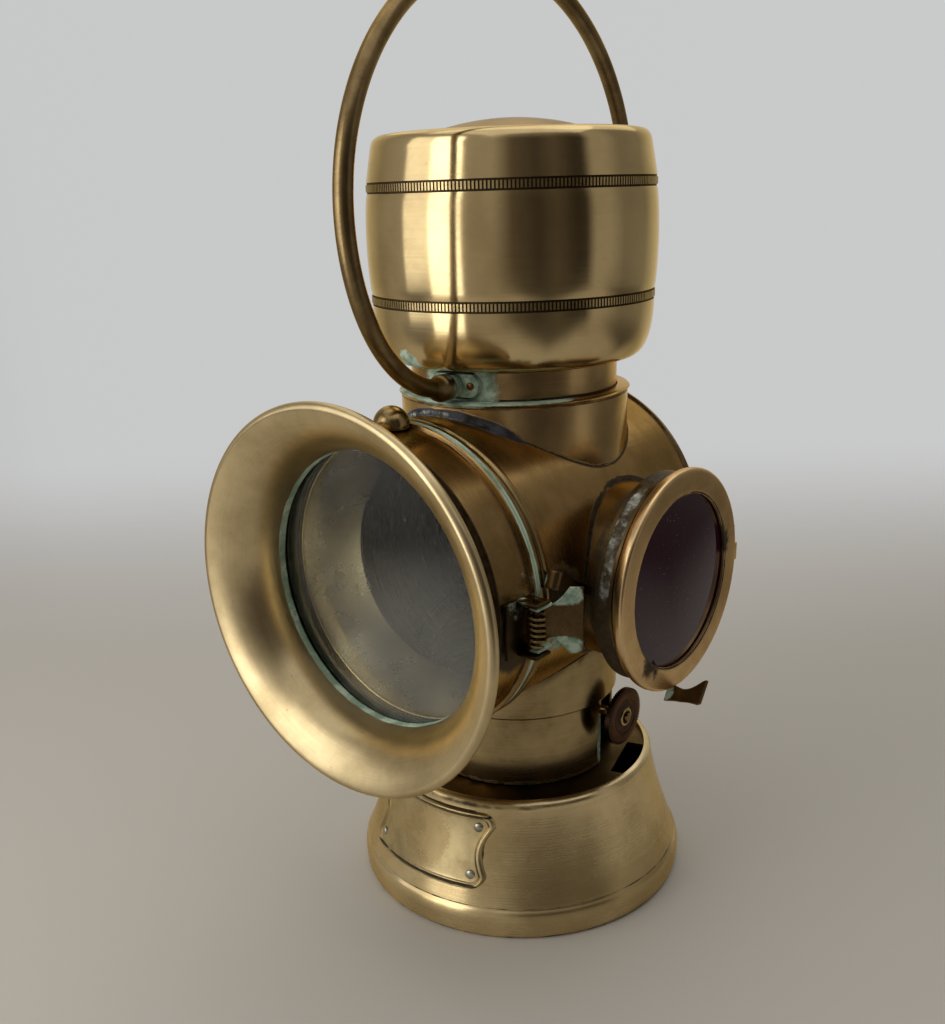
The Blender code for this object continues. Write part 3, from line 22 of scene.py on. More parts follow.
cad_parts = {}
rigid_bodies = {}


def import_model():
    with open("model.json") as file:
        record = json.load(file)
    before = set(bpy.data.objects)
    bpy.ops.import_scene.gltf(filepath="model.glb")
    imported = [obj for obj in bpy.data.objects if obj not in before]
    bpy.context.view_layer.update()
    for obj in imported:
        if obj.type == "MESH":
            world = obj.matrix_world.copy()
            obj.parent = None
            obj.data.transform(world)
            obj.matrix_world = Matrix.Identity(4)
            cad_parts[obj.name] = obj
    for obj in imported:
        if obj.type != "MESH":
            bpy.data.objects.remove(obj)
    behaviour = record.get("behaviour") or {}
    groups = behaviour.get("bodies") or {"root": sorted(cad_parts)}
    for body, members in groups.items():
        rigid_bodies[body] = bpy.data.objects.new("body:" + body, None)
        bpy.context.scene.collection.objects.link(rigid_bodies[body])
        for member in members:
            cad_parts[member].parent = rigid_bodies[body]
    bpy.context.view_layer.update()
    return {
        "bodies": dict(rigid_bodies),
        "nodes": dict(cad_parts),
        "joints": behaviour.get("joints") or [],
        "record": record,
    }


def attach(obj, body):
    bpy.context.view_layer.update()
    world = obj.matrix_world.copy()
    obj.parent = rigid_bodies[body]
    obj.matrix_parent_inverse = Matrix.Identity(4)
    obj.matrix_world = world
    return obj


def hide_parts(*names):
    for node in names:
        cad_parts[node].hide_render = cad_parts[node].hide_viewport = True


LOG = logging.getLogger("side_lamp")
MM = 0.001
ROUND = 160
SMALL_ROUND = 40
SHARP = math.radians(34)
MERGE = 1e-6

Point = tuple[float, float]
Points = tuple[Point, ...]
Outline = list[Point]
Triple = tuple[float, float, float]
Place = Triple
Colour = Triple
Mesh, Material, Object = bpy.types.Mesh, bpy.types.Material, bpy.types.Object
BMesh = bmesh.types.BMesh


class Axis(Enum):
    """The direction that a turned piece's height runs in."""

    UP = "z"
    FRONT = "-y"
    SIDE = "x"


class Slot(Enum):
    """Material slots of the record."""

    BRASS = "brass"
    POLISHED = "polished_brass"
    DARK = "dark_brass"
    COPPER = "copper_brown"
    SILVER = "silvered"
    CLEAR = "clear_glass"
    RUBY = "ruby_glass"
    COTTON = "cotton"


class Body(Enum):
    """Moving bodies of the lamp."""

    BASE = "base"
    WINDER = "wick_winder"
    WICK = "wick"
    LAMP = "lamp_body"
    DOOR = "front_door"
    THUMB = "catch_thumb"
    RUBY = "ruby_door"
    BAIL = "bail"


# Mesh making


def place_turned(axis: Axis, radius: float, height: float, turn: float) -> Vector:
    """Put a point of a turned outline in the frame's axes.

    Args:
        axis: Direction of the outline's height.
        radius: Distance from the axis.
        height: Place along the axis.
        turn: Angle round the axis.

    Returns:
        The point in millimetres.
    """
    across, aside = radius * math.cos(turn), radius * math.sin(turn)
    if axis is Axis.UP:
        return Vector((across, aside, height))
    if axis is Axis.FRONT:
        return Vector((across, -height, aside))
    return Vector((height, across, aside))


def rounded(points: Sequence[Point], radius: float, steps: int = 3, closed: bool = True) -> Outline:
    """Round the corners of an outline.

    Args:
        points: Corners of the outline.
        radius: How far from a corner its curve starts.
        steps: Pieces in each curve.
        closed: Whether the last point joins the first.

    Returns:
        The outline with a short curve at each corner.
    """
    result: Outline = []
    count = len(points)
    for index, corner in enumerate(points):
        if not closed and index in (0, count - 1):
            result.append(corner)
            continue
        here = Vector(corner)
        ends = []
        for other in (points[index - 1], points[(index + 1) % count]):
            way = Vector(other) - here
            ends.append(here + way.normalized() * min(radius, 0.45 * way.length))
        for step in range(steps + 1):
            share = step / steps
            bent = ends[0] * (1 - share) ** 2 + here * (2 * share * (1 - share)) + ends[1] * share**2
            result.append((bent.x, bent.y))
    return result


def through(points: Sequence[Sequence[float]], steps: int = 6) -> list[Vector]:
    """Draw a smooth curve through points.

    Args:
        points: Points of two or three numbers.
        steps: Pieces between two points.

    Returns:
        Points along a Catmull-Rom curve.
    """
    fixed = [Vector(p) for p in points]
    padded = [2 * fixed[0] - fixed[1], *fixed, 2 * fixed[-1] - fixed[-2]]
    result = [fixed[0]]
    for index in range(len(fixed) - 1):
        a, b, c, d = padded[index : index + 4]
        for step in range(1, steps + 1):
            t = step / steps
            bend, twist = 2 * a - 5 * b + 4 * c - d, 3 * b - a - 3 * c + d
            result.append(0.5 * (2 * b + (c - a) * t + bend * t**2 + twist * t**3))
    return result


def pairs(points: Sequence[Vector]) -> Outline:
    """Turn vectors into outline points."""
    return [(p[0], p[1]) for p in points]


def linked(name: str, data: bpy.types.ID) -> Object:
    """Put data into the scene as an object.

    Args:
        name: Name of the object.
        data: A mesh, a light or a camera.

    Returns:
        The object.
    """
    obj = bpy.data.objects.new(name, data)
    bpy.context.scene.collection.objects.link(obj)
    return obj


def written(build: BMesh) -> Mesh:
    """Write a mesh that is being built, and free it.

    Args:
        build: The mesh in metres.

    Returns:
        The plain mesh.
    """
    mesh = bpy.data.meshes.new("mesh")
    build.to_mesh(mesh)
    build.free()
    return mesh


def smoothed(mesh: Mesh) -> Mesh:
    """Shade a mesh smooth."""
    mesh.polygons.foreach_set("use_smooth", [True] * len(mesh.polygons))
    return mesh


def evaluated(holder: Object) -> Mesh:
    """Make a plain mesh of an object with its modifiers, and remove the object.

    Args:
        holder: The object with its modifiers.

    Returns:
        The plain mesh.
    """
    bpy.context.view_layer.update()
    graph = bpy.context.evaluated_depsgraph_get()
    mesh = bpy.data.meshes.new_from_object(holder.evaluated_get(graph))
    holder.modifiers.clear()
    bpy.data.objects.remove(holder, do_unlink=True)
    return mesh


def close_mesh(build: BMesh, recalculate: bool = True) -> Mesh:
    """Finish a mesh: merge its doubles, face it outwards and shade it smooth.

    Args:
        build: The mesh in metres.
        recalculate: Whether normals are worked out again.

    Returns:
        The finished mesh.
    """
    bmesh.ops.remove_doubles(build, verts=build.verts, dist=MERGE)
    if recalculate:
        bmesh.ops.recalc_face_normals(build, faces=build.faces)
    mesh = smoothed(written(build))
    mesh.set_sharp_from_angle(angle=SHARP)
    return mesh


def bridge(build: BMesh, rows: Sequence[Sequence[bmesh.types.BMVert]], closed: bool = True) -> None:
    """Join rows of points with faces.

    Args:
        build: The mesh.
        rows: Rows of as many points each.
        closed: Whether a row's last point joins its first.
    """
    for near, far in zip(rows, rows[1:]):
        for index in range(len(near) if closed else len(near) - 1):
            following = (index + 1) % len(near)
            build.faces.new((near[index], near[following], far[following], far[index]))


def lathe(
    outline: Sequence[Point],
    axis: Axis = Axis.UP,
    centre: Place = (0, 0, 0),
    closed: bool = True,
    segments: int = ROUND,
    level: Optional[Callable[[float, float, float], float]] = None,
) -> Mesh:
    """Turn an outline about an axis.

    Args:
        outline: Points of (radius, height).
        axis: Direction of the height.
        centre: Where the axis passes.
        closed: Whether the outline closes on itself.
        segments: Steps round the axis.
        level: Gives a point's height from its radius, height and turn, as for an end that meets a drum.

    Returns:
        The turned mesh.
    """
    build = bmesh.new()
    columns = []
    for index in range(segments):
        turn = 2 * math.pi * index / segments
        column = []
        for radius, height in outline:
            high = level(radius, height, turn) if level else height
            column.append(build.verts.new((place_turned(axis, radius, high, turn) + Vector(centre)) * MM))
        columns.append(column)
    last = len(outline) if closed else len(outline) - 1
    for index in range(segments):
        near, far = columns[index], columns[(index + 1) % segments]
        for row in range(last):
            following = (row + 1) % len(outline)
            if outline[row][0] == 0 and outline[following][0] == 0:
                continue
            build.faces.new((near[row], near[following], far[following], far[row]))
    bmesh.ops.remove_doubles(build, verts=build.verts, dist=MERGE)
    bmesh.ops.dissolve_degenerate(build, dist=MERGE, edges=build.edges)
    return close_mesh(build)


def hoop(out: float, bore: float, low: float, high: float) -> Outline:
    """The outline of a plain ring."""
    return [(out, high), (out, low), (bore, low), (bore, high)]


def disc(
    radius: float,
    low: float,
    high: float,
    axis: Axis = Axis.UP,
    centre: Place = (0, 0, 0),
    corner: float = 0.0,
    segments: int = ROUND,
) -> Mesh:
    """Turn a solid disc or rod.

    Args:
        radius: Its radius.
        low: Where it starts along the axis.
        high: Where it ends.
        axis: Direction of the axis.
        centre: Where the axis passes.
        corner: How far its edges are rounded.
        segments: Steps round the axis.

    Returns:
        The closed mesh.
    """
    outline = [(0, high), (radius, high), (radius, low), (0, low)]
    if corner:
        outline = rounded(outline, corner, closed=False)
    return lathe(outline, axis, centre, False, segments)


def sweep(path: Sequence[Vector], radii: Sequence[float], sides: int = 20) -> Mesh:
    """Run a round wire along a path.

    Args:
        path: Points in millimetres.
        radii: Radius at each point.
        sides: Sides of the wire.

    Returns:
        The closed wire.
    """
    build = bmesh.new()
    rings = []
    across = Vector((0, 0, 1)).cross(path[1] - path[0])
    for index, spot in enumerate(path):
        along = path[min(index + 1, len(path) - 1)] - path[max(index - 1, 0)]
        along.normalize()
        across = (across - along * across.dot(along)).normalized()
        aside = along.cross(across)
        ring = []
        for side in range(sides):
            turn = 2 * math.pi * side / sides
            reach = across * math.cos(turn) + aside * math.sin(turn)
            ring.append(build.verts.new((spot + reach * radii[index]) * MM))
        rings.append(ring)
    bridge(build, rings)
    build.faces.new(rings[0])
    build.faces.new(rings[-1])
    return close_mesh(build)


def box(low: Place, high: Place, bevel: float = 0.2, steps: int = 2) -> Mesh:
    """A box with softened edges.

    Args:
        low: Lowest corner.
        high: Highest corner.
        bevel: Width of the softened edge.
        steps: Pieces in each edge.

    Returns:
        The box.
    """
    build = bmesh.new()
    bmesh.ops.create_cube(build, size=1)
    size, middle = Vector(high) - Vector(low), (Vector(high) + Vector(low)) / 2
    build.transform(Matrix.Translation(middle * MM) @ Matrix.Diagonal((*(size * MM), 1)))
    edges = build.edges[:]
    bmesh.ops.bevel(build, geom=edges, offset=bevel * MM, segments=steps, profile=0.5, affect="EDGES")
    return close_mesh(build)


def ribbon(stations: Sequence[tuple[Vector, Vector, float]], thickness: float, across: int = 8) -> Mesh:
    """A bent strip of sheet metal with softened edges.

    Args:
        stations: Middle, direction of the width, and width at each place along the strip.
        thickness: Thickness of the sheet.
        across: Pieces across the strip.

    Returns:
        The closed strip.
    """
    build = bmesh.new()
    rows = []
    for middle, direction, width in stations:
        spots = [middle + direction * ((index / across - 0.5) * width) for index in range(across + 1)]
        rows.append([build.verts.new(spot * MM) for spot in spots])
    bridge(build, rows, False)
    return thickened(written(build), thickness, 0.0)


def thickened(flat: Mesh, thickness: float, offset: float) -> Mesh:
    """Give a surface a wall with softened edges.

    Args:
        flat: The surface.
        thickness: Wall in millimetres.
        offset: Where the wall lies, from -1 inside to 1 outside.

    Returns:
        The closed mesh.
    """
    holder = linked("holder", flat)
    wall = holder.modifiers.new("Wall", "SOLIDIFY")
    wall.thickness = thickness * MM
    wall.offset = offset
    edges = holder.modifiers.new("Edges", "BEVEL")
    edges.width = 0.2 * thickness * MM
    edges.segments = 2
    edges.limit_method = "ANGLE"
    edges.angle_limit = math.radians(50)
    return joined(evaluated(holder))


def joined(*meshes: Mesh) -> Mesh:
    """Put closed meshes into one.

    Args:
        meshes: The meshes.

    Returns:
        One mesh, shaded smooth between its sharp edges.
    """
    build = bmesh.new()
    for mesh in meshes:
        build.from_mesh(mesh)
    return close_mesh(build, recalculate=False)


def bored(mesh: Mesh, *cutters: Mesh) -> Mesh:
    """Cut closed shapes out of a mesh.

    Args:
        mesh: What is cut.
        cutters: What is taken away.

    Returns:
        The cut mesh.
    """
    holder = linked("holder", mesh)
    helpers = [linked("cutter", cutter) for cutter in cutters]
    for helper in helpers:
        step = holder.modifiers.new("Cut", "BOOLEAN")
        step.operation = "DIFFERENCE"
        step.solver = "EXACT"
        step.object = helper
    result = joined(evaluated(holder))
    for helper in helpers:
        bpy.data.objects.remove(helper, do_unlink=True)
    return result


# Shader making


class Signal:
    """A shader socket on which arithmetic adds Math nodes."""

    def __init__(self, graph: Graph, socket: bpy.types.NodeSocket) -> None:
        """Keep the socket and the graph it is in."""
        self.graph = graph
        self.socket = socket

    def _math(self, operation: str, first: Value, second: Value) -> Signal:
        """Add one Math node."""
        return self.graph.node("ShaderNodeMath", {"operation": operation}, {0: first, 1: second})

    def __add__(self, other: Value) -> Signal:
        """Sum."""
        return self._math("ADD", self, other)

    def __radd__(self, other: Value) -> Signal:
        """Reflected sum."""
        return self._math("ADD", other, self)

    def __sub__(self, other: Value) -> Signal:
        """Difference."""
        return self._math("SUBTRACT", self, other)

    def __rsub__(self, other: Value) -> Signal:
        """Reflected difference."""
        return self._math("SUBTRACT", other, self)

    def __mul__(self, other: Value) -> Signal:
        """Product."""
        return self._math("MULTIPLY", self, other)

    def __rmul__(self, other: Value) -> Signal:
        """Reflected product."""
        return self._math("MULTIPLY", other, self)

    def __truediv__(self, other: Value) -> Signal:
        """Quotient."""
        return self._math("DIVIDE", self, other)

    def __rtruediv__(self, other: Value) -> Signal:
        """Reflected quotient."""
        return self._math("DIVIDE", other, self)

    def __abs__(self) -> Signal:
        """Size without sign."""
        return self._math("ABSOLUTE", self, 0.0)

    def most(self, other: Value) -> Signal:
        """The larger of two values."""
        return self._math("MAXIMUM", self, other)

    def least(self, other: Value) -> Signal:
        """The smaller of two values."""
        return self._math("MINIMUM", self, other)

    def root(self) -> Signal:
        """Square root."""
        return self._math("SQRT", self, 0.0)

    def step(self, low: float, high: float) -> Signal:
        """A smooth step.

        Args:
            low: Where it is 0.
            high: Where it is 1, which may be the smaller number.

        Returns:
            The share.
        """
        rising = high > low
        ends = (low, high) if rising else (high, low)
        out = (0.0, 1.0) if rising else (1.0, 0.0)
        inputs = {0: self, 1: ends[0], 2: ends[1], 3: out[0], 4: out[1]}
        return self.graph.node("ShaderNodeMapRange", {"interpolation_type": "SMOOTHSTEP"}, inputs)

    def within(self, half: float, fade: float) -> Signal:
        """Nearness of a distance: 1 well within half in millimetres, 0 past it, fading at the edge."""
        return self.step((half + fade) * MM, max(half - fade, 0.0) * MM)


Value = Union[Signal, float, int]


class Graph:
    """Builds one node tree."""

    def __init__(self, tree: bpy.types.NodeTree) -> None:
        """Start with an empty tree."""
        self.tree = tree
        tree.nodes.clear()

    def node(
        self,
        kind: str,
        settings: Optional[dict] = None,
        inputs: Optional[dict] = None,
        output: Union[int, str] = 0,
    ) -> Signal:
        """Add a node.

        Args:
            kind: Type name of the node.
            settings: Attributes, set first. The key stops gives a colour ramp its stops.
            inputs: Values or signals by socket name or number.
            output: The socket that is returned.

        Returns:
            The chosen output.
        """
        made = self.tree.nodes.new(kind)
        for key, value in (settings or {}).items():
            if key == "stops":
                elements = made.color_ramp.elements
                for place, colour in value:
                    at_end = place in (0.0, 1.0)
                    element = elements[-int(place)] if at_end else elements.new(place)
                    element.color = (*colour, 1)
            else:
                setattr(made, key, value)
        for key, value in (inputs or {}).items():
            self.feed(made.inputs[key], value)
        if not made.outputs:
            return Signal(self, made.inputs[0])
        return Signal(self, made.outputs[output])

    def feed(self, socket: bpy.types.NodeSocket, value: object) -> None:
        """Link a signal to a socket, or set its value.

        Args:
            socket: The socket.
            value: A signal, a number, a colour or a vector.
        """
        if isinstance(value, Signal):
            self.tree.links.new(value.socket, socket)
        elif isinstance(value, tuple) and len(value) == 3 and socket.type == "RGBA":
            socket.default_value = (*value, 1)
        else:
            socket.default_value = value

    def mix(self, share: Value, first: object, second: object) -> Signal:
        """Mix two colours."""
        return self.node("ShaderNodeMix", {"data_type": "RGBA"}, {0: share, 6: first, 7: second}, 2)

    def noise(
        self,
        where: Signal,
        scale: float,
        detail: float = 3.0,
        rough: float = 0.55,
        w: Optional[Value] = None,
    ) -> Signal:
        """Cloudy noise.

        Args:
            where: Place on the surface.
            scale: Cells per metre.
            detail: Octaves of the noise.
            rough: How strong its finer octaves are.
            w: A fourth place, if it has one.

        Returns:
            The noise, about 0.5.
        """
        inputs: dict = {"Vector": where, "Scale": scale, "Detail": detail, "Roughness": rough}
        if w is not None:
            inputs["W"] = w
        return self.node("ShaderNodeTexNoise", {"noise_dimensions": "3D" if w is None else "4D"}, inputs)

    def bump(self, strength: float, distance: float, height: Signal) -> Signal:
        """A normal that follows a height."""
        inputs = {"Strength": strength, "Distance": distance, "Height": height}
        return self.node("ShaderNodeBump", None, inputs)

    def split(self, vector: Signal) -> tuple[Signal, Signal, Signal]:
        """The three numbers of a vector."""
        parts = self.node("ShaderNodeSeparateXYZ", None, {0: vector}).socket.node
        return tuple(Signal(self, parts.outputs[i]) for i in range(3))

    def vector(self, x: Value, y: Value, z: Value) -> Signal:
        """A vector of three numbers."""
        return self.node("ShaderNodeCombineXYZ", None, {0: x, 1: y, 2: z})


class Region(ABC):
    """A part of a surface."""

    @abstractmethod
    def mask(self, graph: Graph, where: Signal) -> Signal:
        """Build the region's mask.

        Args:
            graph: The tree.
            where: Place on the surface.

        Returns:
            1 in the region and 0 away from it.
        """


@dataclass(frozen=True)
class Ball(Region):
    """A round region of a surface, fading over its edge."""

    centre: Place
    radius: float
    fade: float

    def mask(self, graph: Graph, where: Signal) -> Signal:
        """Nearness to the ball: 1 inside, 0 outside.

        Args:
            graph: The tree.
            where: Place on the surface.

        Returns:
            The mask.
        """
        ends = {0: where, 1: tuple(c * MM for c in self.centre)}
        far = graph.node("ShaderNodeVectorMath", {"operation": "DISTANCE"}, ends, "Value")
        return far.within(self.radius, self.fade)


@dataclass(frozen=True)
class Layer(Region):
    """A flat layer across one of the frame's axes, 0 for x to 2 for z."""

    axis: int
    level: float
    half: float
    fade: float

    def mask(self, graph: Graph, where: Signal) -> Signal:
        """Nearness to the layer's middle."""
        off = abs(graph.split(where)[self.axis] - self.level * MM)
        return off.within(self.half, self.fade)


@dataclass(frozen=True)
class Shell(Region):
    """A round shell about an axis."""

    axis: Axis
    centre: Place
    radius: float
    half: float
    fade: float

    def mask(self, graph: Graph, where: Signal) -> Signal:
        """Nearness to the shell's wall."""
        away = radius_about(graph, where, self.axis, self.centre)[2]
        return abs(away - self.radius * MM).within(self.half, self.fade)


def radius_about(
    graph: Graph, where: Signal, axis: Axis, centre: Place
) -> tuple[Signal, Signal, Signal, Signal]:
    """Split a place into parts about an axis.

    Args:
        graph: The tree.
        where: Place on the surface.
        axis: Direction of the axis.
        centre: Where the axis passes.

    Returns:
        The two parts across the axis, the distance from it and the part along it.
    """
    parts = graph.split(where)
    order = {Axis.UP: (0, 1, 2), Axis.FRONT: (0, 2, 1), Axis.SIDE: (1, 2, 0)}[axis]
    first, second = (parts[i] - centre[i] * MM for i in order[:2])
    away = (first * first + second * second).root()
    return first, second, away, parts[order[2]]


class Stain(Enum):
    """What lies on the metal in a region; the grime stain also paints shade."""

    VERDIGRIS = "verdigris"
    GRIME = "grime"
    BLUING = "bluing"
    PALE = "pale"
    POLISH = "polish"


@dataclass(frozen=True)
class Mark:
    """A stain and the regions that it needs, all of them together."""

    stain: Stain
    amount: float
    grain: float
    regions: tuple[Region, ...]


def stained(stain: Stain, amount: float, grain: float, *regions: Region) -> Mark:
    """Describe a stain of an amount, broken up at a grain in cells per metre."""
    return Mark(stain, amount, grain, regions)


verdigris, grime, bluing, pale, polish = (partial(stained, stain) for stain in Stain)


@dataclass(frozen=True)
class Deposit:
    """What a stain is made of: two colours, a roughness and how far it hides the metal."""

    low: Colour
    high: Colour
    rough: float = 0.62
    hides: float = 1.0


DEPOSITS: dict[Stain, Deposit] = {
    Stain.VERDIGRIS: Deposit((0.24, 0.38, 0.29), (0.56, 0.70, 0.58), rough=0.85),
    # The dark grime deposit also paints shade in creases, recesses and gaps.
    Stain.GRIME: Deposit((0.016, 0.012, 0.008), (0.055, 0.040, 0.024), hides=0.6),
    Stain.BLUING: Deposit((0.010, 0.011, 0.016), (0.075, 0.085, 0.115)),
    Stain.PALE: Deposit((0.18, 0.20, 0.17), (0.60, 0.62, 0.56), rough=0.85),
    Stain.POLISH: Deposit((0.46, 0.345, 0.17), (0.56, 0.43, 0.22)),
}


class Finish(ABC):
    """What a surface looks like."""

    @abstractmethod
    def shader(self, graph: Graph, where: Signal) -> Signal:
        """Build the shader.

        Args:
            graph: The tree.
            where: Place on the surface.

        Returns:
            The shader.
        """

    def material(self, name: str) -> Material:
        """Build a material of the finish.

        Args:
            name: Name of the material.

        Returns:
            The material.
        """
        made = bpy.data.materials.new(name)
        made.use_nodes = True
        graph = Graph(made.node_tree)
        where = graph.node("ShaderNodeTexCoord", None, None, "Object")
        graph.node("ShaderNodeOutputMaterial", None, {0: self.shader(graph, where)})
        return made


@dataclass(frozen=True)
class Metal(Finish):
    """Aged metal: colour clouds, lathe lines, pits and marks."""

    bright: Colour
    dull: Colour
    dullness: float = 0.42
    rough: float = 0.27
    lines: Optional[Axis] = None
    centre: Place = (0, 0, 0)
    line_depth: float = 0.05
    cloud: float = 55.0
    spun: float = 0.0
    grain: float = 0.35
    pitting: float = 0.3
    marks: tuple[Mark, ...] = ()
    pit_colour: Colour = (0.05, 0.035, 0.02)
    pit_edge: Point = (0.70, 0.76)
    pit_scale: float = 900.0
    fine_scale: float = 1500.0
    line_scale: float = 2600.0
    contrast: float = 2.2

    def shader(self, graph: Graph, where: Signal) -> Signal:
        """Clouds, lines and pits, with the marks over them.

        Args:
            graph: The tree.
            where: Place on the surface.

        Returns:
            The shader.
        """
        clouds = graph.noise(where, self.cloud, 5.0, 0.62)
        specks = graph.noise(where, self.pit_scale, 2.0, 0.6)
        fine = self._lines(graph, where)
        share = (clouds - 0.5) * self.contrast + self.dullness + (fine - 0.5) * self.grain
        colour = graph.mix(share.step(0.0, 1.0), self.bright, self.dull)
        pits = specks.step(*self.pit_edge)
        colour = graph.mix(pits * self.pitting, colour, self.pit_colour)
        rough = self.rough + (clouds - 0.5) * 0.16 + (fine - 0.5) * (0.46 * self.grain)
        metallic: Value = 1.0
        height = fine * self.line_depth + clouds * 0.05
        for mark in self.marks:
            cover, tint, crust = self._mark(graph, where, mark)
            colour = graph.mix(cover, colour, tint)
            if mark.stain is Stain.POLISH:
                rough = rough - cover * 0.08
                continue
            deposit = DEPOSITS[mark.stain]
            rough = rough * (1 - cover) + cover * deposit.rough
            metallic = metallic - cover * deposit.hides
            height = height + crust
        if isinstance(metallic, Signal):
            metallic = metallic.most(0.0)
        inputs = {
            "Normal": graph.bump(0.35, 0.00035, height),
            "Base Color": colour,
            "Roughness": rough.most(0.08),
            "Metallic": metallic,
            "Specular Tint": tuple((c / max(self.bright)) ** 0.7 for c in self.bright),
            "Anisotropic": self.spun,
            "Anisotropic Rotation": 0.25,
        }
        return graph.node("ShaderNodeBsdfPrincipled", None, inputs)

    def _lines(self, graph: Graph, where: Signal) -> Signal:
        """Fine lathe lines round the axis, or plain fine noise.

        Args:
            graph: The tree.
            where: Place on the surface.

        Returns:
            The lines, about 0.5.
        """
        if self.lines is None:
            return graph.noise(where, self.fine_scale, 2.0)
        first, second, away, along = radius_about(graph, where, self.lines, self.centre)
        safe = away.most(0.0005)
        spot = graph.vector(first / safe * 1.3, second / safe * 1.3, along * self.line_scale)
        return graph.noise(spot, 1.0, 3.0, 0.7, away * self.line_scale)

    def _mark(self, graph: Graph, where: Signal, mark: Mark) -> tuple[Signal, Signal, Signal]:
        """Build one mark.

        Args:
            graph: The tree.
            where: Place on the surface.
            mark: The mark.

        Returns:
            Its cover, its colour and the height of its crust.
        """
        mask: Optional[Signal] = None
        for region in mark.regions:
            near = region.mask(graph, where)
            mask = near if mask is None else mask * near
        broken = graph.noise(where, mark.grain, 4.0, 0.65)
        patchy = graph.noise(where, mark.grain * 0.28, 3.0, 0.6)
        level = mask * (broken * 0.9 + patchy * 0.9) * mark.amount
        cover = level.step(0.42, 0.62)
        deposit = DEPOSITS[mark.stain]
        tint = graph.mix(broken.step(0.38, 0.62), deposit.low, deposit.high)
        return cover, tint, cover * broken * 0.8


@dataclass(frozen=True)
class Glass(Finish):
    """Old sheet glass."""

    colour: Colour
    rough: float
    clear: float
    film: Optional[Ball] = None
    dust: Colour = (0.46, 0.46, 0.42)

    def shader(self, graph: Graph, where: Signal) -> Signal:
        """Clear or dark glass under a film of dust.

        Args:
            graph: The tree.
            where: Place on the surface.

        Returns:
            The shader.
        """
        film = graph.noise(where, 60.0, 4.0, 0.6)
        specks = graph.noise(where, 1300.0, 1.0).step(0.72, 0.76)
        rough = self.rough + film.step(0.45, 0.8) * 0.05
        cover = specks * 0.3
        if self.film:
            cover = cover + self.film.mask(graph, where) * (film * 0.1 + 0.08)
        waves = graph.noise(where, 35.0, 1.0)
        inputs = {
            "Normal": graph.bump(0.05, 0.0005, waves),
            "Base Color": self.colour,
            "Roughness": rough,
            "IOR": 1.46,
            "Transmission Weight": self.clear,
        }
        glass = graph.node("ShaderNodeBsdfPrincipled", None, inputs)
        dust = graph.node("ShaderNodeBsdfDiffuse", None, {"Color": self.dust})
        return graph.node("ShaderNodeMixShader", None, {0: cover, 1: glass, 2: dust})


@dataclass(frozen=True)
class Cotton(Finish):
    """Woven lamp wick."""

    colour: Colour = (0.62, 0.55, 0.42)
    shadow: Colour = (0.34, 0.29, 0.20)
    char: Colour = (0.012, 0.010, 0.009)
    char_z: Point = (0.0860, 0.0905)
    thread: float = 0.55

    def shader(self, graph: Graph, where: Signal) -> Signal:
        """A weave that is charred at its top.

        Args:
            graph: The tree.
            where: Place on the surface.

        Returns:
            The shader.
        """
        x, _, z = graph.split(where)
        pitch = 2 * math.pi / (self.thread * MM)
        warp = graph.node("ShaderNodeMath", {"operation": "SINE"}, {0: x * pitch})
        weft = graph.node("ShaderNodeMath", {"operation": "SINE"}, {0: z * pitch})
        weave = (warp * weft) * 0.5 + 0.5
        fuzz = graph.noise(where, 2200.0, 2.0)
        burnt = z.step(*self.char_z)
        colour = graph.mix(weave * 0.5 + fuzz * 0.4, self.shadow, self.colour)
        colour = graph.mix(burnt * 0.92, colour, self.char)
        bump = graph.bump(0.6, 0.0002, weave + fuzz * 0.5)
        inputs = {"Base Color": colour, "Roughness": 0.95, "Normal": bump}
        return graph.node("ShaderNodeBsdfPrincipled", None, inputs)


# Geometry Nodes


class Repeat:
    """A Geometry Nodes tree and the plain mesh that it makes."""

    def __init__(self, name: str) -> None:
        """Start an empty tree.

        Args:
            name: Name of the tree.
        """
        self.tree = bpy.data.node_groups.new(name, "GeometryNodeTree")
        self.graph = Graph(self.tree)
        self.values: dict[str, object] = {}
        self.tree.interface.new_socket("Geometry", in_out="INPUT", socket_type="NodeSocketGeometry")
        self.tree.interface.new_socket("Geometry", in_out="OUTPUT", socket_type="NodeSocketGeometry")
        self.start = self.tree.nodes.new("NodeGroupInput")

    def size(self, name: str, value: object, kind: str = "NodeSocketFloat") -> Signal:
        """Add a named input.

        Args:
            name: Name of the input.
            value: Its value on the modifier.
            kind: Socket type.

        Returns:
            The input inside the tree.
        """
        socket = self.tree.interface.new_socket(name, in_out="INPUT", socket_type=kind)
        self.values[socket.identifier] = value
        return Signal(self.graph, self.start.outputs[name])

    def finish(self, shape: Signal, material: Material, seed: Optional[Mesh] = None) -> Mesh:
        """End the tree and make its mesh.

        Args:
            shape: Geometry that the tree has made.
            material: Finish of the result.
            seed: Mesh that the tree starts from.

        Returns:
            The plain mesh.
        """
        real = self.graph.node("GeometryNodeRealizeInstances", None, {0: shape})
        dressed = self.graph.node("GeometryNodeSetMaterial", None, {0: real, "Material": material})
        end = self.tree.nodes.new("NodeGroupOutput")
        self.tree.links.new(dressed.socket, end.inputs[0])
        name = self.tree.name
        holder = linked(name + "_holder", seed or bpy.data.meshes.new(name + "_seed"))
        step = holder.modifiers.new(name, "NODES")
        step.node_group = self.tree
        for identifier, value in self.values.items():
            step[identifier] = value
        return evaluated(holder)


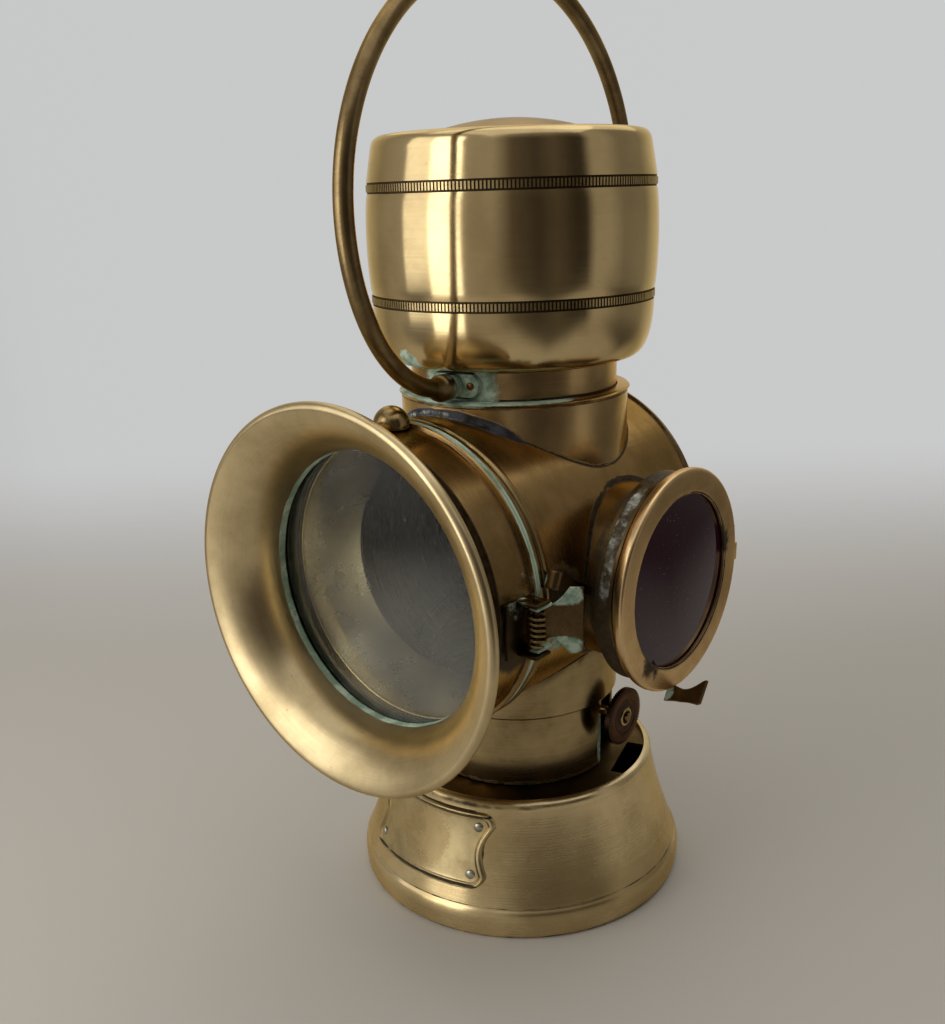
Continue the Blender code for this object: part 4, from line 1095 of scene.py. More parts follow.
def ring_of_teeth(
    name: str, count: int, radius: float, tooth: Triple, place: Matrix, material: Material
) -> Mesh:
    """Small upright teeth round a circle, as on a milled edge.

    Args:
        name: Name of the tree.
        count: Teeth on the circle.
        radius: Distance of a tooth's middle from the axis.
        tooth: Depth, width and height of a tooth.
        place: Where the circle goes, in millimetres.
        material: Finish of the teeth.

    Returns:
        The teeth as one mesh.
    """
    repeat = Repeat(name)
    number = repeat.size("Teeth", count, "NodeSocketInt")
    reach = repeat.size("Radius", radius * MM)
    size = repeat.size("Tooth", tuple(v * MM for v in tooth), "NodeSocketVector")
    graph = repeat.graph
    sizes = {"Vertices": number, "Radius": reach}
    ring = graph.node("GeometryNodeMeshCircle", {"fill_type": "NONE"}, sizes)
    cube = graph.node("GeometryNodeMeshCube", None, {"Size": size})
    where = graph.node("GeometryNodeInputPosition")
    facing = graph.node("FunctionNodeAlignRotationToVector", {"axis": "X"}, {"Vector": where})
    spread = {"Points": ring, "Instance": cube, "Rotation": facing}
    teeth = graph.node("GeometryNodeInstanceOnPoints", None, spread)
    mesh = repeat.finish(teeth, material)
    moved = place.copy()
    moved.translation = place.translation * MM
    mesh.transform(moved)
    return mesh


def rivets(
    name: str, spots: Sequence[tuple[Vector, Vector]], radius: float, rise: float, material: Material
) -> Mesh:
    """Domed rivet heads on given spots.

    Args:
        name: Name of the tree.
        spots: Place and outward direction of each head.
        radius: Radius of a head.
        rise: Height of a head.
        material: Finish of the heads.

    Returns:
        The heads as one mesh.
    """
    seed = bpy.data.meshes.new(name + "_spots")
    seed.from_pydata([tuple(spot * MM) for spot, _ in spots], [], [])
    facing = seed.attributes.new("facing", "FLOAT_VECTOR", "POINT")
    for index, (_, way) in enumerate(spots):
        facing.data[index].vector = way
    repeat = Repeat(name)
    wide = repeat.size("Radius", radius * MM)
    tall = repeat.size("Rise", rise * MM)
    graph = repeat.graph
    points = Signal(graph, repeat.start.outputs["Geometry"])
    dome = graph.node("GeometryNodeMeshUVSphere", None, {"Segments": 20, "Rings": 12, "Radius": 1.0})
    scale = graph.vector(wide, wide, tall)
    way = graph.node("GeometryNodeInputNamedAttribute", {"data_type": "FLOAT_VECTOR"}, {"Name": "facing"})
    turn = graph.node("FunctionNodeAlignRotationToVector", {"axis": "Z"}, {"Vector": way})
    spread = {"Points": points, "Instance": dome, "Rotation": turn, "Scale": scale}
    heads = graph.node("GeometryNodeInstanceOnPoints", None, spread)
    return smoothed(repeat.finish(heads, material, seed))


def coil(
    name: str, turns: float, radius: float, height: float, wire: float, place: Vector, material: Material
) -> Mesh:
    """A coil spring.

    Args:
        name: Name of the tree.
        turns: Turns of the coil.
        radius: Radius at the wire's middle.
        height: Length of the coil.
        wire: Radius of the wire.
        place: Foot of the coil.
        material: Finish of the wire.

    Returns:
        The coil as one mesh.
    """
    repeat = Repeat(name)
    rounds = repeat.size("Turns", turns)
    reach = repeat.size("Radius", radius * MM)
    tall = repeat.size("Height", height * MM)
    thick = repeat.size("Wire", wire * MM)
    graph = repeat.graph
    path = {"Resolution": 28, "Rotations": rounds, "Height": tall}
    path.update({"Start Radius": reach, "End Radius": reach})
    line = graph.node("GeometryNodeCurveSpiral", None, path)
    section = graph.node("GeometryNodeCurvePrimitiveCircle", None, {"Resolution": 10, "Radius": thick})
    run = {"Curve": line, "Profile Curve": section, "Fill Caps": True}
    tube = graph.node("GeometryNodeCurveToMesh", None, run)
    mesh = repeat.finish(tube, material)
    mesh.transform(Matrix.Translation(place * MM))
    return smoothed(mesh)


# Finished pieces


@dataclass
class Assembly:
    """A sub-assembly of the frame: makes finished pieces that ride on the frame's bodies."""

    frame: dict

    def metal(self, name: str, bright: Colour, dull: Colour, *marks: Mark, **fields: object) -> Material:
        """Build a metal from its colours, the marks on it and other fields of Metal."""
        return Metal(bright, dull, marks=marks, **fields).material(name)

    def piece(
        self, name: str, mesh: Mesh, material: Material, body: Body, slot: Slot, *nodes: str
    ) -> None:
        """Make a finished piece.

        Args:
            name: Name of the piece.
            mesh: Its mesh, in place.
            material: Its finish.
            body: The body that it rides on.
            slot: The record's slot for it; not used.
            nodes: CAD nodes that it stands for.
        """
        obj = linked(name, mesh)
        mesh.name = name
        mesh.materials.clear()
        mesh.materials.append(material)
        if nodes:
            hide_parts(*nodes)
        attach(obj, body.value)
        LOG.info("%s: %d faces, rides on %s", name, len(mesh.polygons), body.value)

    def node(self, node: str, material: Material) -> None:
        """Give a CAD node that stays its finish.

        Args:
            node: Name of the node.
            material: Its finish.
        """
        obj = self.frame["nodes"][node]
        obj.data.materials.clear()
        obj.data.materials.append(material)
        LOG.info("%s keeps its solid", node)


@dataclass(frozen=True)
class Sizes:
    """Sizes that several pieces share."""

    gap: float = 0.3
    sheet: float = 0.9
    rim_z: float = 40.3
    rim_r: float = 42.1
    crease_z: float = 9.8
    crease_r: float = 50.3
    flare_power: float = 1.4
    tank_z: float = 38.9
    drum_z: float = 108.6
    drum_r: float = 42.0
    drum_front: float = 41.0
    drum_back: float = -34.5
    ring_front: float = 46.5
    neck_r: float = 29.4
    chimney_top: float = 154.6
    bail_z: float = 158.8
    bail_turn: float = math.radians(6.0)
    ruby_z: float = 105.4
    ruby_neck_r: float = 24.8

    def flare(self, z: float) -> float:
        """Radius of the skirt at a height."""
        share = max(0.0, (self.rim_z - z) / (self.rim_z - self.crease_z))
        return self.rim_r + (self.crease_r - self.rim_r) * share**self.flare_power


SIZE = Sizes()
# A height that stands for the drum's surface, and how deep a tube's end is pressed into it
SEAT = -999.0
SEAT_PRESS = 0.12
DRUM_PLACE: Place = (0, 0, SIZE.drum_z)
RUBY_PLACE: Place = (0, 0, SIZE.ruby_z)
drum_shell = partial(Shell, Axis.FRONT, DRUM_PLACE)
ruby_shell = partial(Shell, Axis.SIDE, RUBY_PLACE)
upright_shell = partial(Shell, Axis.UP, (0, 0, 0))

OLD_BRASS: Colour = (0.30, 0.205, 0.092)
BROWN_BRASS: Colour = (0.14, 0.090, 0.040)
# Near black: real soot in the flue, painted shade on the tank lid and the glass ring
SOOT_AND_SHADE: Colour = (0.028, 0.021, 0.015)


def arc(centre: Point, radius: float, start: float, end: float, steps: int = 12) -> Outline:
    """Points along a part of a circle, both ends included."""
    turns = [start + (end - start) * i / steps for i in range(steps + 1)]
    return [(centre[0] + radius * math.cos(a), centre[1] + radius * math.sin(a)) for a in turns]


def mapped_plate(
    outline: Outline,
    edges: Sequence[Point],
    place: Callable[[float, float, float], Vector],
    loops: int = 9,
) -> Mesh:
    """A plate of any outline laid on a curved surface.

    Args:
        outline: The plate's edge, flat, anticlockwise.
        edges: Steps of (inset, height) from the edge inwards.
        place: Puts (across, up, height) in the frame's axes.
        loops: Rings of faces over the middle.

    Returns:
        The plate, open at the back.
    """
    count = len(outline)
    normals = []
    for index in range(count):
        way = Vector(outline[(index + 1) % count]) - Vector(outline[index - 1])
        normals.append(Vector((-way.y, way.x)).normalized())
    build = bmesh.new()
    rows = []
    for inset, height in edges:
        inner = [Vector(p) + n * inset for p, n in zip(outline, normals)]
        rows.append([build.verts.new(place(p.x, p.y, height) * MM) for p in inner])
    level = edges[-1][1]
    for loop in range(1, loops):
        scaled = [p * (1 - loop / loops) for p in inner]
        rows.append([build.verts.new(place(p.x, p.y, level) * MM) for p in scaled])
    bridge(build, rows)
    middle = build.verts.new(place(0, 0, level) * MM)
    for index in range(count):
        build.faces.new((rows[-1][index], rows[-1][(index + 1) % count], middle))
    return close_mesh(build, recalculate=False)


def wrapped(reach: float, turn: float, across: float, z: float) -> Vector:
    """A place on an upright round wall, across from a turn that is counted from the front."""
    angle = turn + math.asin(across / reach)
    return Vector((reach * math.sin(angle), -reach * math.cos(angle), z))


def rounded_rectangle(half_w: float, half_h: float, corner: float, scallop: float = 0.0) -> Outline:
    """An outline with round corners and ends that dip inwards.

    Args:
        half_w: Half of the width.
        half_h: Half of the height.
        corner: Radius of the corners.
        scallop: How far each end dips at its middle.

    Returns:
        The outline, anticlockwise.
    """
    points: Outline = []
    for quarter, (x, y) in enumerate(((1, 1), (-1, 1), (-1, -1), (1, -1))):
        start = math.pi / 2 * quarter
        middle = (x * (half_w - corner), y * (half_h - corner))
        points += arc(middle, corner, start, start + math.pi / 2, 8)
        shares = [step / 16 for step in range(1, 16)]
        if quarter % 2:
            dips = [scallop * math.sin(math.pi * share) for share in shares]
            points += [(x * (half_w - d), middle[1] * (1 - 2 * s)) for d, s in zip(dips, shares)]
        else:
            points += [(middle[0] * (1 - 2 * share), y * half_h) for share in shares]
    return points


@dataclass
class Foot(Assembly):
    """The flared skirt with its rolled rim, its plates and the bare bordered plate."""

    wall: float = 1.1
    roll: float = 2.2
    floor_r: float = 49.0
    floor_t: float = 1.2
    lid_edge: float = 40.4
    lid_bore: float = 12.8
    notch_from: float = 33.4
    notch_half: float = 10.0
    notch_turn: float = math.radians(17)
    plate_z: float = 25.5
    plate_turn: float = math.radians(-3.2)
    plate_half: Point = (22.5, 11.1)
    plate_corner: float = 4.0
    plate_scallop: float = 2.4
    plate_edges: Points = (
        (0, -0.35), (0, 0.4), (0.2, 0.7), (0.5, 0.78), (0.8, 0.7), (1.0, 0.42), (1.25, 0.4), (1.45, 0.68),
        (1.7, 0.68), (1.9, 0.42), (2.2, 0.4),
    )
    rivet_at: Point = (18.3, 7.0)
    rivet_head: Point = (1.5, 0.65)
    bulge: Points = (
        (50.45, 9.3), (51.25, 8.2), (51.72, 6.4), (51.8, 4.6), (51.68, 2.3), (51.3, 0.8), (50.7, 0),
    )
    foot_bore: Point = (49.3, 9.2)

    def dress(self) -> None:
        """Make the pieces of the foot."""
        self._skirt()
        self._plates()
        self._name_plate()

    def _skirt(self) -> None:
        """The spun skirt from its rolled rim to its beaded foot."""
        size = SIZE
        spot = tuple(self.on_skirt(0, 0, 0))
        edge = self.plate_half[0] - self.plate_scallop + 1.2
        brass = self.metal(
            "skirt_brass", (0.79, 0.632, 0.362), (0.48, 0.360, 0.178),
            # painted shade along the crease above the beaded foot
            grime(0.58, 220.0, Layer(2, size.crease_z - 0.2, 0.2, 0.5)),
            # darker along the foot's lowest edge
            grime(0.6, 300.0, Layer(2, 0.4, 0.4, 1.2)),
            # grime and painted shade in the joint round the name plate
            grime(1.0, 300.0, Ball(spot, edge, 0.8), Layer(2, self.plate_z, 11.6, 0.5)),
            grime(0.55, 110.0, Layer(2, size.rim_z - 1.6, 1.2, 1.4)),
            rough=0.27, lines=Axis.UP, dullness=0.5, cloud=32.0, spun=0.7,
        )
        top = size.rim_z - self.roll
        middle = (size.flare(top) - self.roll, top)
        levels = [top + (size.crease_z - top) * i / 30 for i in range(1, 31)]
        outline = arc(middle, self.roll, math.pi / 2, 0, 10) + [(size.flare(z), z) for z in levels]
        outline += pairs(through(self.bulge, 4)) + [(self.foot_bore[0], 0), self.foot_bore]
        outline += [(size.flare(z) - self.wall, z) for z in reversed(levels)]
        outline += arc(middle, self.roll - self.wall, 0, math.pi / 2, 8)
        self.piece("skirt", lathe(outline), brass, Body.BASE, Slot.BRASS, "base_skirt")

    def _plates(self) -> None:
        """The plate underneath and the notched lid of the tank."""
        dull = self.metal("under_brass", OLD_BRASS, BROWN_BRASS, rough=0.42)
        floor = disc(self.floor_r, 0, self.floor_t, corner=0.3)
        self.piece("floor_plate", floor, dull, Body.BASE, Slot.BRASS, "base_plate")
        # painted shade: the tank lid is coloured near black for the deep shade in the trough
        near_black = self.metal("tank_soot", (0.10, 0.068, 0.036), SOOT_AND_SHADE, rough=0.42, dullness=0.6)
        high, low = SIZE.tank_z, SIZE.tank_z - self.floor_t
        notch = box((self.notch_from, -self.notch_half, low - 5), (60, self.notch_half, high + 5))
        notch.transform(Matrix.Rotation(self.notch_turn, 4, "Z"))
        lid = bored(lathe(hoop(self.lid_edge, self.lid_bore, low, high)), notch)
        self.piece("tank_lid", lid, near_black, Body.BASE, Slot.DARK, "tank_top")

    def on_skirt(self, across: float, up: float, height: float) -> Vector:
        """Put a point of the plate on the skirt, at a height above the plate's back."""
        z = self.plate_z + up
        return wrapped(SIZE.flare(z) + SIZE.gap + height, self.plate_turn, across, z)

    def _name_plate(self) -> None:
        """The plate with a double border and four rivets, left bare."""
        wide, tall = self.plate_half
        outline = rounded_rectangle(wide, tall, self.plate_corner, self.plate_scallop)
        plate = mapped_plate(outline, self.plate_edges, self.on_skirt, 12)
        ends = [tuple(self.on_skirt(side * wide, 0, 0)) for side in (-1, 1)]
        brass = self.metal(
            "plate_brass", (0.58, 0.465, 0.255), (0.34, 0.262, 0.135),
            polish(0.75, 120.0, Ball(tuple(self.on_skirt(0, 0, 0)), 13.0, 8.0)),
            grime(0.8, 420.0, Layer(2, self.plate_z - tall + 0.9, 0.1, 0.8)),
            grime(0.8, 420.0, Layer(2, self.plate_z + tall - 0.9, 0.1, 0.8)),
            grime(0.75, 300.0, Ball(ends[0], 2.6, 1.6)),
            verdigris(0.62, 420.0, Ball(ends[1], 3.6, 2.0)),
            rough=0.33, cloud=90.0,
        )
        self.piece("bare_plate", plate, brass, Body.BASE, Slot.BRASS, "name_plate")
        silver = self.metal("rivet_silver", (0.52, 0.50, 0.45), (0.28, 0.25, 0.20), rough=0.32, cloud=300.0)
        across, up = self.rivet_at
        heads = [self.on_skirt(x * across, y * up, 0.4) for x in (-1, 1) for y in (-1, 1)]
        spots = [(head, Vector((head.x, head.y, 4.0)).normalized()) for head in heads]
        mesh = rivets("plate_rivets", spots, *self.rivet_head, silver)
        self.piece("plate_rivets", mesh, silver, Body.BASE, Slot.SILVER)


@dataclass
class Burner(Assembly):
    """Burner, wick and wick winder."""

    collar_r: Triple = (16.5, 12.5, 10.0)
    collar_z: Triple = (42.2, 39.2, 32.9)
    wick_low: Place = (-7.4, -1.4, 12.0)
    wick_high: Place = (7.4, 1.4, 90.5)
    axle: Place = (0.0, 5.3, 56.0)
    spindle_r: float = 1.4
    spindle_x: Point = (-16.0, 38.0)
    knob_x: Point = (34.6, 37.2)
    knob_r: float = 8.6
    knob_bore: float = 1.7
    knob_face: Points = (
        (2.6, 0), (2.9, 0.3), (3.4, 0.6), (4.9, 0.5), (5.2, 0.75), (5.6, 0.75), (5.9, 0.45), (7.6, 0.4),
    )
    teeth: int = 64
    tooth: Triple = (0.62, 0.44, 1.5)

    def dress(self) -> None:
        """Make the burner's pieces."""
        brass = self.metal("burner_brass", OLD_BRASS, BROWN_BRASS, rough=0.36, lines=Axis.UP)
        out, stem, bore = self.collar_r
        top, seat, low = self.collar_z
        outline = [(out, top), (out, seat), (stem, seat), (stem, low), (bore, low), (bore, top)]
        collar = lathe(rounded(outline, 0.4), segments=64)
        self.piece("screw_collar", collar, brass, Body.BASE, Slot.DARK, "burner_collar")
        self.node("burner_cone", brass)
        self.node("wick_tube", brass)
        cotton = Cotton().material("woven_cotton")
        flat = box(self.wick_low, self.wick_high, 0.5, 3)
        self.piece("flat_wick", flat, cotton, Body.WICK, Slot.COTTON, "wick")
        self._winder()

    def _winder(self) -> None:
        """The spindle, its wheel and the milled knob."""
        dark = self.metal("spindle_brass", OLD_BRASS, BROWN_BRASS, rough=0.35)
        tail, nose = self.spindle_x
        rod = disc(self.spindle_r, tail, nose, Axis.SIDE, self.axle, 0.4, SMALL_ROUND)
        self.piece("spindle", rod, dark, Body.WINDER, Slot.DARK, "winder_spindle")
        self.node("winder_wheel", dark)
        copper = self.metal(
            "knob_copper", (0.085, 0.052, 0.036), (0.030, 0.020, 0.016),
            grime(0.9, 300.0, Shell(Axis.SIDE, self.axle, 4.0, 0.4, 0.8)),
            polish(1.0, 300.0, Shell(Axis.SIDE, self.axle, 2.5, 0.3, 0.4)),
            rough=0.34, lines=Axis.SIDE, centre=self.axle, line_depth=0.2,
        )
        back, front = self.knob_x
        edge = self.knob_r
        outline = [(self.knob_bore, front)] + [(r, front - down) for r, down in self.knob_face]
        outline += [(edge - 0.3, front - 0.6), (edge, front - 1.0), (edge, back + 0.5), (edge - 0.4, back)]
        outline += [(self.knob_bore, back)]
        knob = lathe(rounded(outline, 0.15, 2), Axis.SIDE, self.axle, segments=96)
        self.piece("knob", knob, copper, Body.WINDER, Slot.COPPER, "wick_knob")
        middle = Vector(((back + front) / 2 - 0.2, self.axle[1], self.axle[2]))
        place = Matrix.Translation(middle) @ Matrix.Rotation(math.pi / 2, 4, "Y")
        mesh = ring_of_teeth("knob_milling", self.teeth, edge + 0.02, self.tooth, place, copper)
        self.piece("knob_milling", mesh, copper, Body.WINDER, Slot.COPPER)


def drum_level(axis: Axis, side: float, radius: float, height: float, turn: float) -> float:
    """Height of a point of a tube whose end meets the drum.

    Args:
        axis: The tube's axis, up or to the side.
        side: 1 for a tube that stands on the drum and -1 for one that hangs under it.
        radius: Distance from the tube's axis.
        height: Height of the outline there, SEAT for the drum's surface.
        turn: Angle round the axis.

    Returns:
        The height.
    """
    if height != SEAT:
        return height
    upright = axis is Axis.UP
    off = radius * math.cos(turn) if upright else SIZE.ruby_z + radius * math.sin(turn) - SIZE.drum_z
    rise = math.sqrt((SIZE.drum_r - SEAT_PRESS) ** 2 - off**2)
    return (SIZE.drum_z if upright else 0.0) + side * rise


@dataclass
class LampBody(Assembly):
    """The lower tube, the drum with its ring and reflectors, and the bracket socket."""

    tube_z: float = 39.2
    tube_r: float = 29.8
    tube_top_r: float = 30.8
    step_z: float = 60.9
    tube_rows: Point = (46.0, 53.0)
    slot_y: Point = (2.5, 18.0)
    slot_top: float = 60.5
    hole_up: Point = (31.7, 52.0)
    hole_down: Point = (29.9, 54.0)
    hole_side: Point = (23.9, 60.0)
    beads: Points = (
        (42.3, 46.5), (43.0, 46.15), (43.2, 45.2), (43.0, 44.25), (42.45, 43.9), (43.0, 43.55),
        (43.2, 42.6), (43.0, 41.65), (42.3, 41.3),
    )
    lip_r: Point = (40.4, 39.7)
    lip_front: float = 49.0
    dish_r: float = 30.0
    dish_rim: float = -18.0
    dish_depth: float = 10.7
    cone_r: Point = (39.4, 30.0)
    cone_back: float = 33.6
    stud_r: float = 4.0
    stud_end: float = -36.9
    back_seat: float = -34.8
    back_rear: float = -38.4
    back_rim: float = 42.45
    back_flat: Point = (24.8, 26.0)
    back_wall: float = 1.2
    socket_low: Place = (-13, 38.7, 90.6)
    socket_high: Place = (13, 51.7, 126.6)
    way_low: Place = (-9.8, 41.9, 80)
    way_high: Place = (9.8, 48.5, 140)

    def dress(self) -> None:
        """Make the body's pieces."""
        self._lower_tube()
        self._drum()
        self._ring()
        self._inside()
        self._back()

    def _lower_tube(self) -> None:
        """The slotted tube that the tank plugs into."""
        brass = self.metal(
            "lower_tube_brass", (0.42, 0.315, 0.156), (0.22, 0.158, 0.075),
            grime(0.75, 350.0, drum_shell(42.0, 0.3, 0.6)),
            # darker at the tube's lower end, where it goes down into the trough
            grime(0.6, 200.0, Layer(2, self.tube_z + 0.6, 0.8, 1.6)),
            grime(0.7, 400.0, Layer(2, self.step_z + 0.3, 0.1, 0.5)),
            verdigris(0.95, 300.0, Ball((29.6, 1.2, 48), 8.5, 4.0), Layer(1, 2.0, 1.4, 1.6)),
            rough=0.25, lines=Axis.UP, spun=0.7,
        )
        ends = [math.asin(y / self.tube_r) for y in self.slot_y]
        turns = [2 * math.pi * i / ROUND for i in range(ROUND)]
        turns = sorted([t for t in turns if min(abs(t - s) for s in ends) > 0.01] + ends)
        rows = [(self.tube_r, z) for z in (self.tube_z, *self.tube_rows, self.slot_top, self.step_z)]
        start = self.step_z + SIZE.sheet
        build = bmesh.new()
        columns = []
        for turn in turns:
            top = drum_level(Axis.UP, -1, self.tube_top_r, SEAT, turn)
            rise = [(self.tube_top_r, start + (top - start) * i / 4) for i in range(5)]
            column = [place_turned(Axis.UP, r, z, turn) for r, z in rows + rise]
            columns.append([build.verts.new(p * MM) for p in column])
        for index, turn in enumerate(turns):
            near, far = columns[index], columns[(index + 1) % len(turns)]
            in_slot = ends[0] - 1e-6 < turn < ends[1] - 1e-6
            for row in range(3 if in_slot else 0, len(near) - 1):
                build.faces.new((near[row], far[row], far[row + 1], near[row + 1]))
        bmesh.ops.delete(build, geom=[v for v in build.verts if not v.link_faces], context="VERTS")
        tube = thickened(written(build), SIZE.sheet, -1.0)
        self.piece("tank_tube", tube, brass, Body.LAMP, Slot.BRASS, "lower_tube")

    def _drum(self) -> None:
        """The drum with the holes of its three tubes."""
        size = SIZE
        brass = self.metal(
            "drum_brass", (0.45, 0.290, 0.120), (0.225, 0.140, 0.055),
            grime(0.75, 350.0, upright_shell(32.8, 0.2, 0.6)),
            bluing(1.1, 200.0, upright_shell(33.2, 1.0, 2.0), Ball((3, -33, 149), 22, 9)),
            pale(0.56, 900.0, upright_shell(33.4, 0.8, 1.6), Ball((-4, -33, 149), 16, 8)),
            grime(0.8, 220.0, ruby_shell(25.4, 0.8, 1.8), Layer(0, 40, 12, 4)),
            grime(0.8, 350.0, Layer(1, -size.drum_front, 0.2, 0.6)),
            # grime with painted shade between the ring, the keeper and the side tube
            grime(0.8, 170.0, Ball((41, -36, 108), 11, 8)),
            verdigris(0.72, 240.0, Ball((42, -32, 99), 10, 7)),
            dullness=0.5, rough=0.27, lines=Axis.FRONT, centre=DRUM_PLACE,
        )
        outline = hoop(size.drum_r, size.drum_r - size.sheet, size.drum_back, size.drum_front)
        middle = size.drum_z
        (up, high), (down, low), (side, out) = self.hole_up, self.hole_down, self.hole_side
        drum = bored(
            lathe(outline, Axis.FRONT, DRUM_PLACE),
            disc(up, middle, middle + high),
            disc(down, middle - low, middle),
            disc(side, 0, out, Axis.SIDE, RUBY_PLACE),
        )
        self.piece("drum", drum, brass, Body.LAMP, Slot.DARK, "drum_shell")

    def _ring(self) -> None:
        """The beaded ring at the drum's mouth."""
        brass = self.metal(
            "ring_brass", (0.36, 0.260, 0.120), (0.17, 0.118, 0.052),
            grime(0.85, 400.0, Layer(1, -43.9, 0.1, 0.35)),
            verdigris(0.78, 75.0, Layer(1, -46.6, 1.0, 0.9)),
            rough=0.27, lines=Axis.FRONT, centre=DRUM_PLACE,
        )
        out, bore = self.lip_r
        outline = [(out, self.lip_front), (out, SIZE.ring_front), *pairs(through(self.beads, 3))]
        outline += [(bore, self.beads[-1][1]), (bore, self.lip_front)]
        ring = lathe(outline, Axis.FRONT, DRUM_PLACE)
        self.piece("beaded_ring", ring, brass, Body.LAMP, Slot.BRASS, "front_ring")

    def _inside(self) -> None:
        """The two silvered reflectors, dull with smoke."""
        silver = self.metal(
            "old_silver", (0.72, 0.650, 0.520), (0.42, 0.365, 0.280),
            grime(0.7, 110.0, Ball((0, -40, 146), 16, 12)),
            polish(1.6, 300.0, Layer(1, -48.9, 0.5, 0.3)),
            rough=0.27, cloud=50.0, line_depth=0.0, grain=0.04, pitting=0.0,
        )
        front, back, wall = self.lip_front, self.cone_back, SIZE.sheet
        wide, narrow = self.cone_r
        outline = [(wide, front), (wide, front - wall), (narrow + wall, back), (narrow, back)]
        outline += [(narrow, back + wall), (wide - wall, front)]
        cone = lathe(rounded(outline, 0.25, 2), Axis.FRONT, DRUM_PLACE)
        self.piece("silver_cone", cone, silver, Body.LAMP, Slot.SILVER, "reflector_cone")
        tarnished = self.metal(
            "tarnished_silver", (0.12, 0.105, 0.085), (0.04, 0.034, 0.027),
            rough=0.28, cloud=60.0, line_depth=0.0, grain=0.04, pitting=0.0,
        )
        shares = [i / 20 for i in range(21)]
        face = [(self.dish_r * s, self.dish_rim - self.dish_depth * (1 - s * s)) for s in shares]
        rear = [(r, h - wall) for r, h in reversed(face) if r > self.stud_r]
        stud = [(self.stud_r, rear[-1][1]), (self.stud_r, self.stud_end), (0, self.stud_end)]
        dish = lathe(face + rear + stud, Axis.FRONT, DRUM_PLACE, False)
        self.piece("silver_dish", dish, tarnished, Body.LAMP, Slot.SILVER, "reflector_dish")

    def _back(self) -> None:
        """The back plate and the socket for the bracket."""
        brass = self.metal(
            "back_brass", OLD_BRASS, BROWN_BRASS,
            grime(0.7, 300.0, drum_shell(26.0, 0.3, 0.6)),
            verdigris(0.7, 300.0, drum_shell(41.8, 0.4, 0.6)),
            rough=0.3, lines=Axis.FRONT, centre=DRUM_PLACE,
        )
        seat, rear, rim = self.back_seat, self.back_rear, self.back_rim
        (inside, outside), wall = self.back_flat, self.back_wall
        outline = [(0, rear + wall), (inside, rear + wall), (rim - 3.6, seat), (rim, seat)]
        outline += [(rim + 0.45, seat - 0.6), (rim, seat - wall), (rim - 1.8, seat - wall)]
        outline += [(outside, rear), (0, rear)]
        plate = lathe(rounded(outline, 0.5, 3, False), Axis.FRONT, DRUM_PLACE, False)
        self.piece("back", plate, brass, Body.LAMP, Slot.DARK, "back_plate")
        dark = self.metal(
            "socket_brass", (0.28, 0.19, 0.085), BROWN_BRASS,
            polish(1.0, 300.0, Layer(2, self.socket_high[2], 0.6, 0.9)),
            grime(0.8, 350.0, Layer(1, self.socket_low[1] + 0.2, 0.3, 0.6)),
            rough=0.34,
        )
        block = box(self.socket_low, self.socket_high, 0.8, 3)
        socket = bored(block, box(self.way_low, self.way_high, 0.3, 2))
        self.piece("socket", socket, dark, Body.LAMP, Slot.DARK, "bracket_socket")


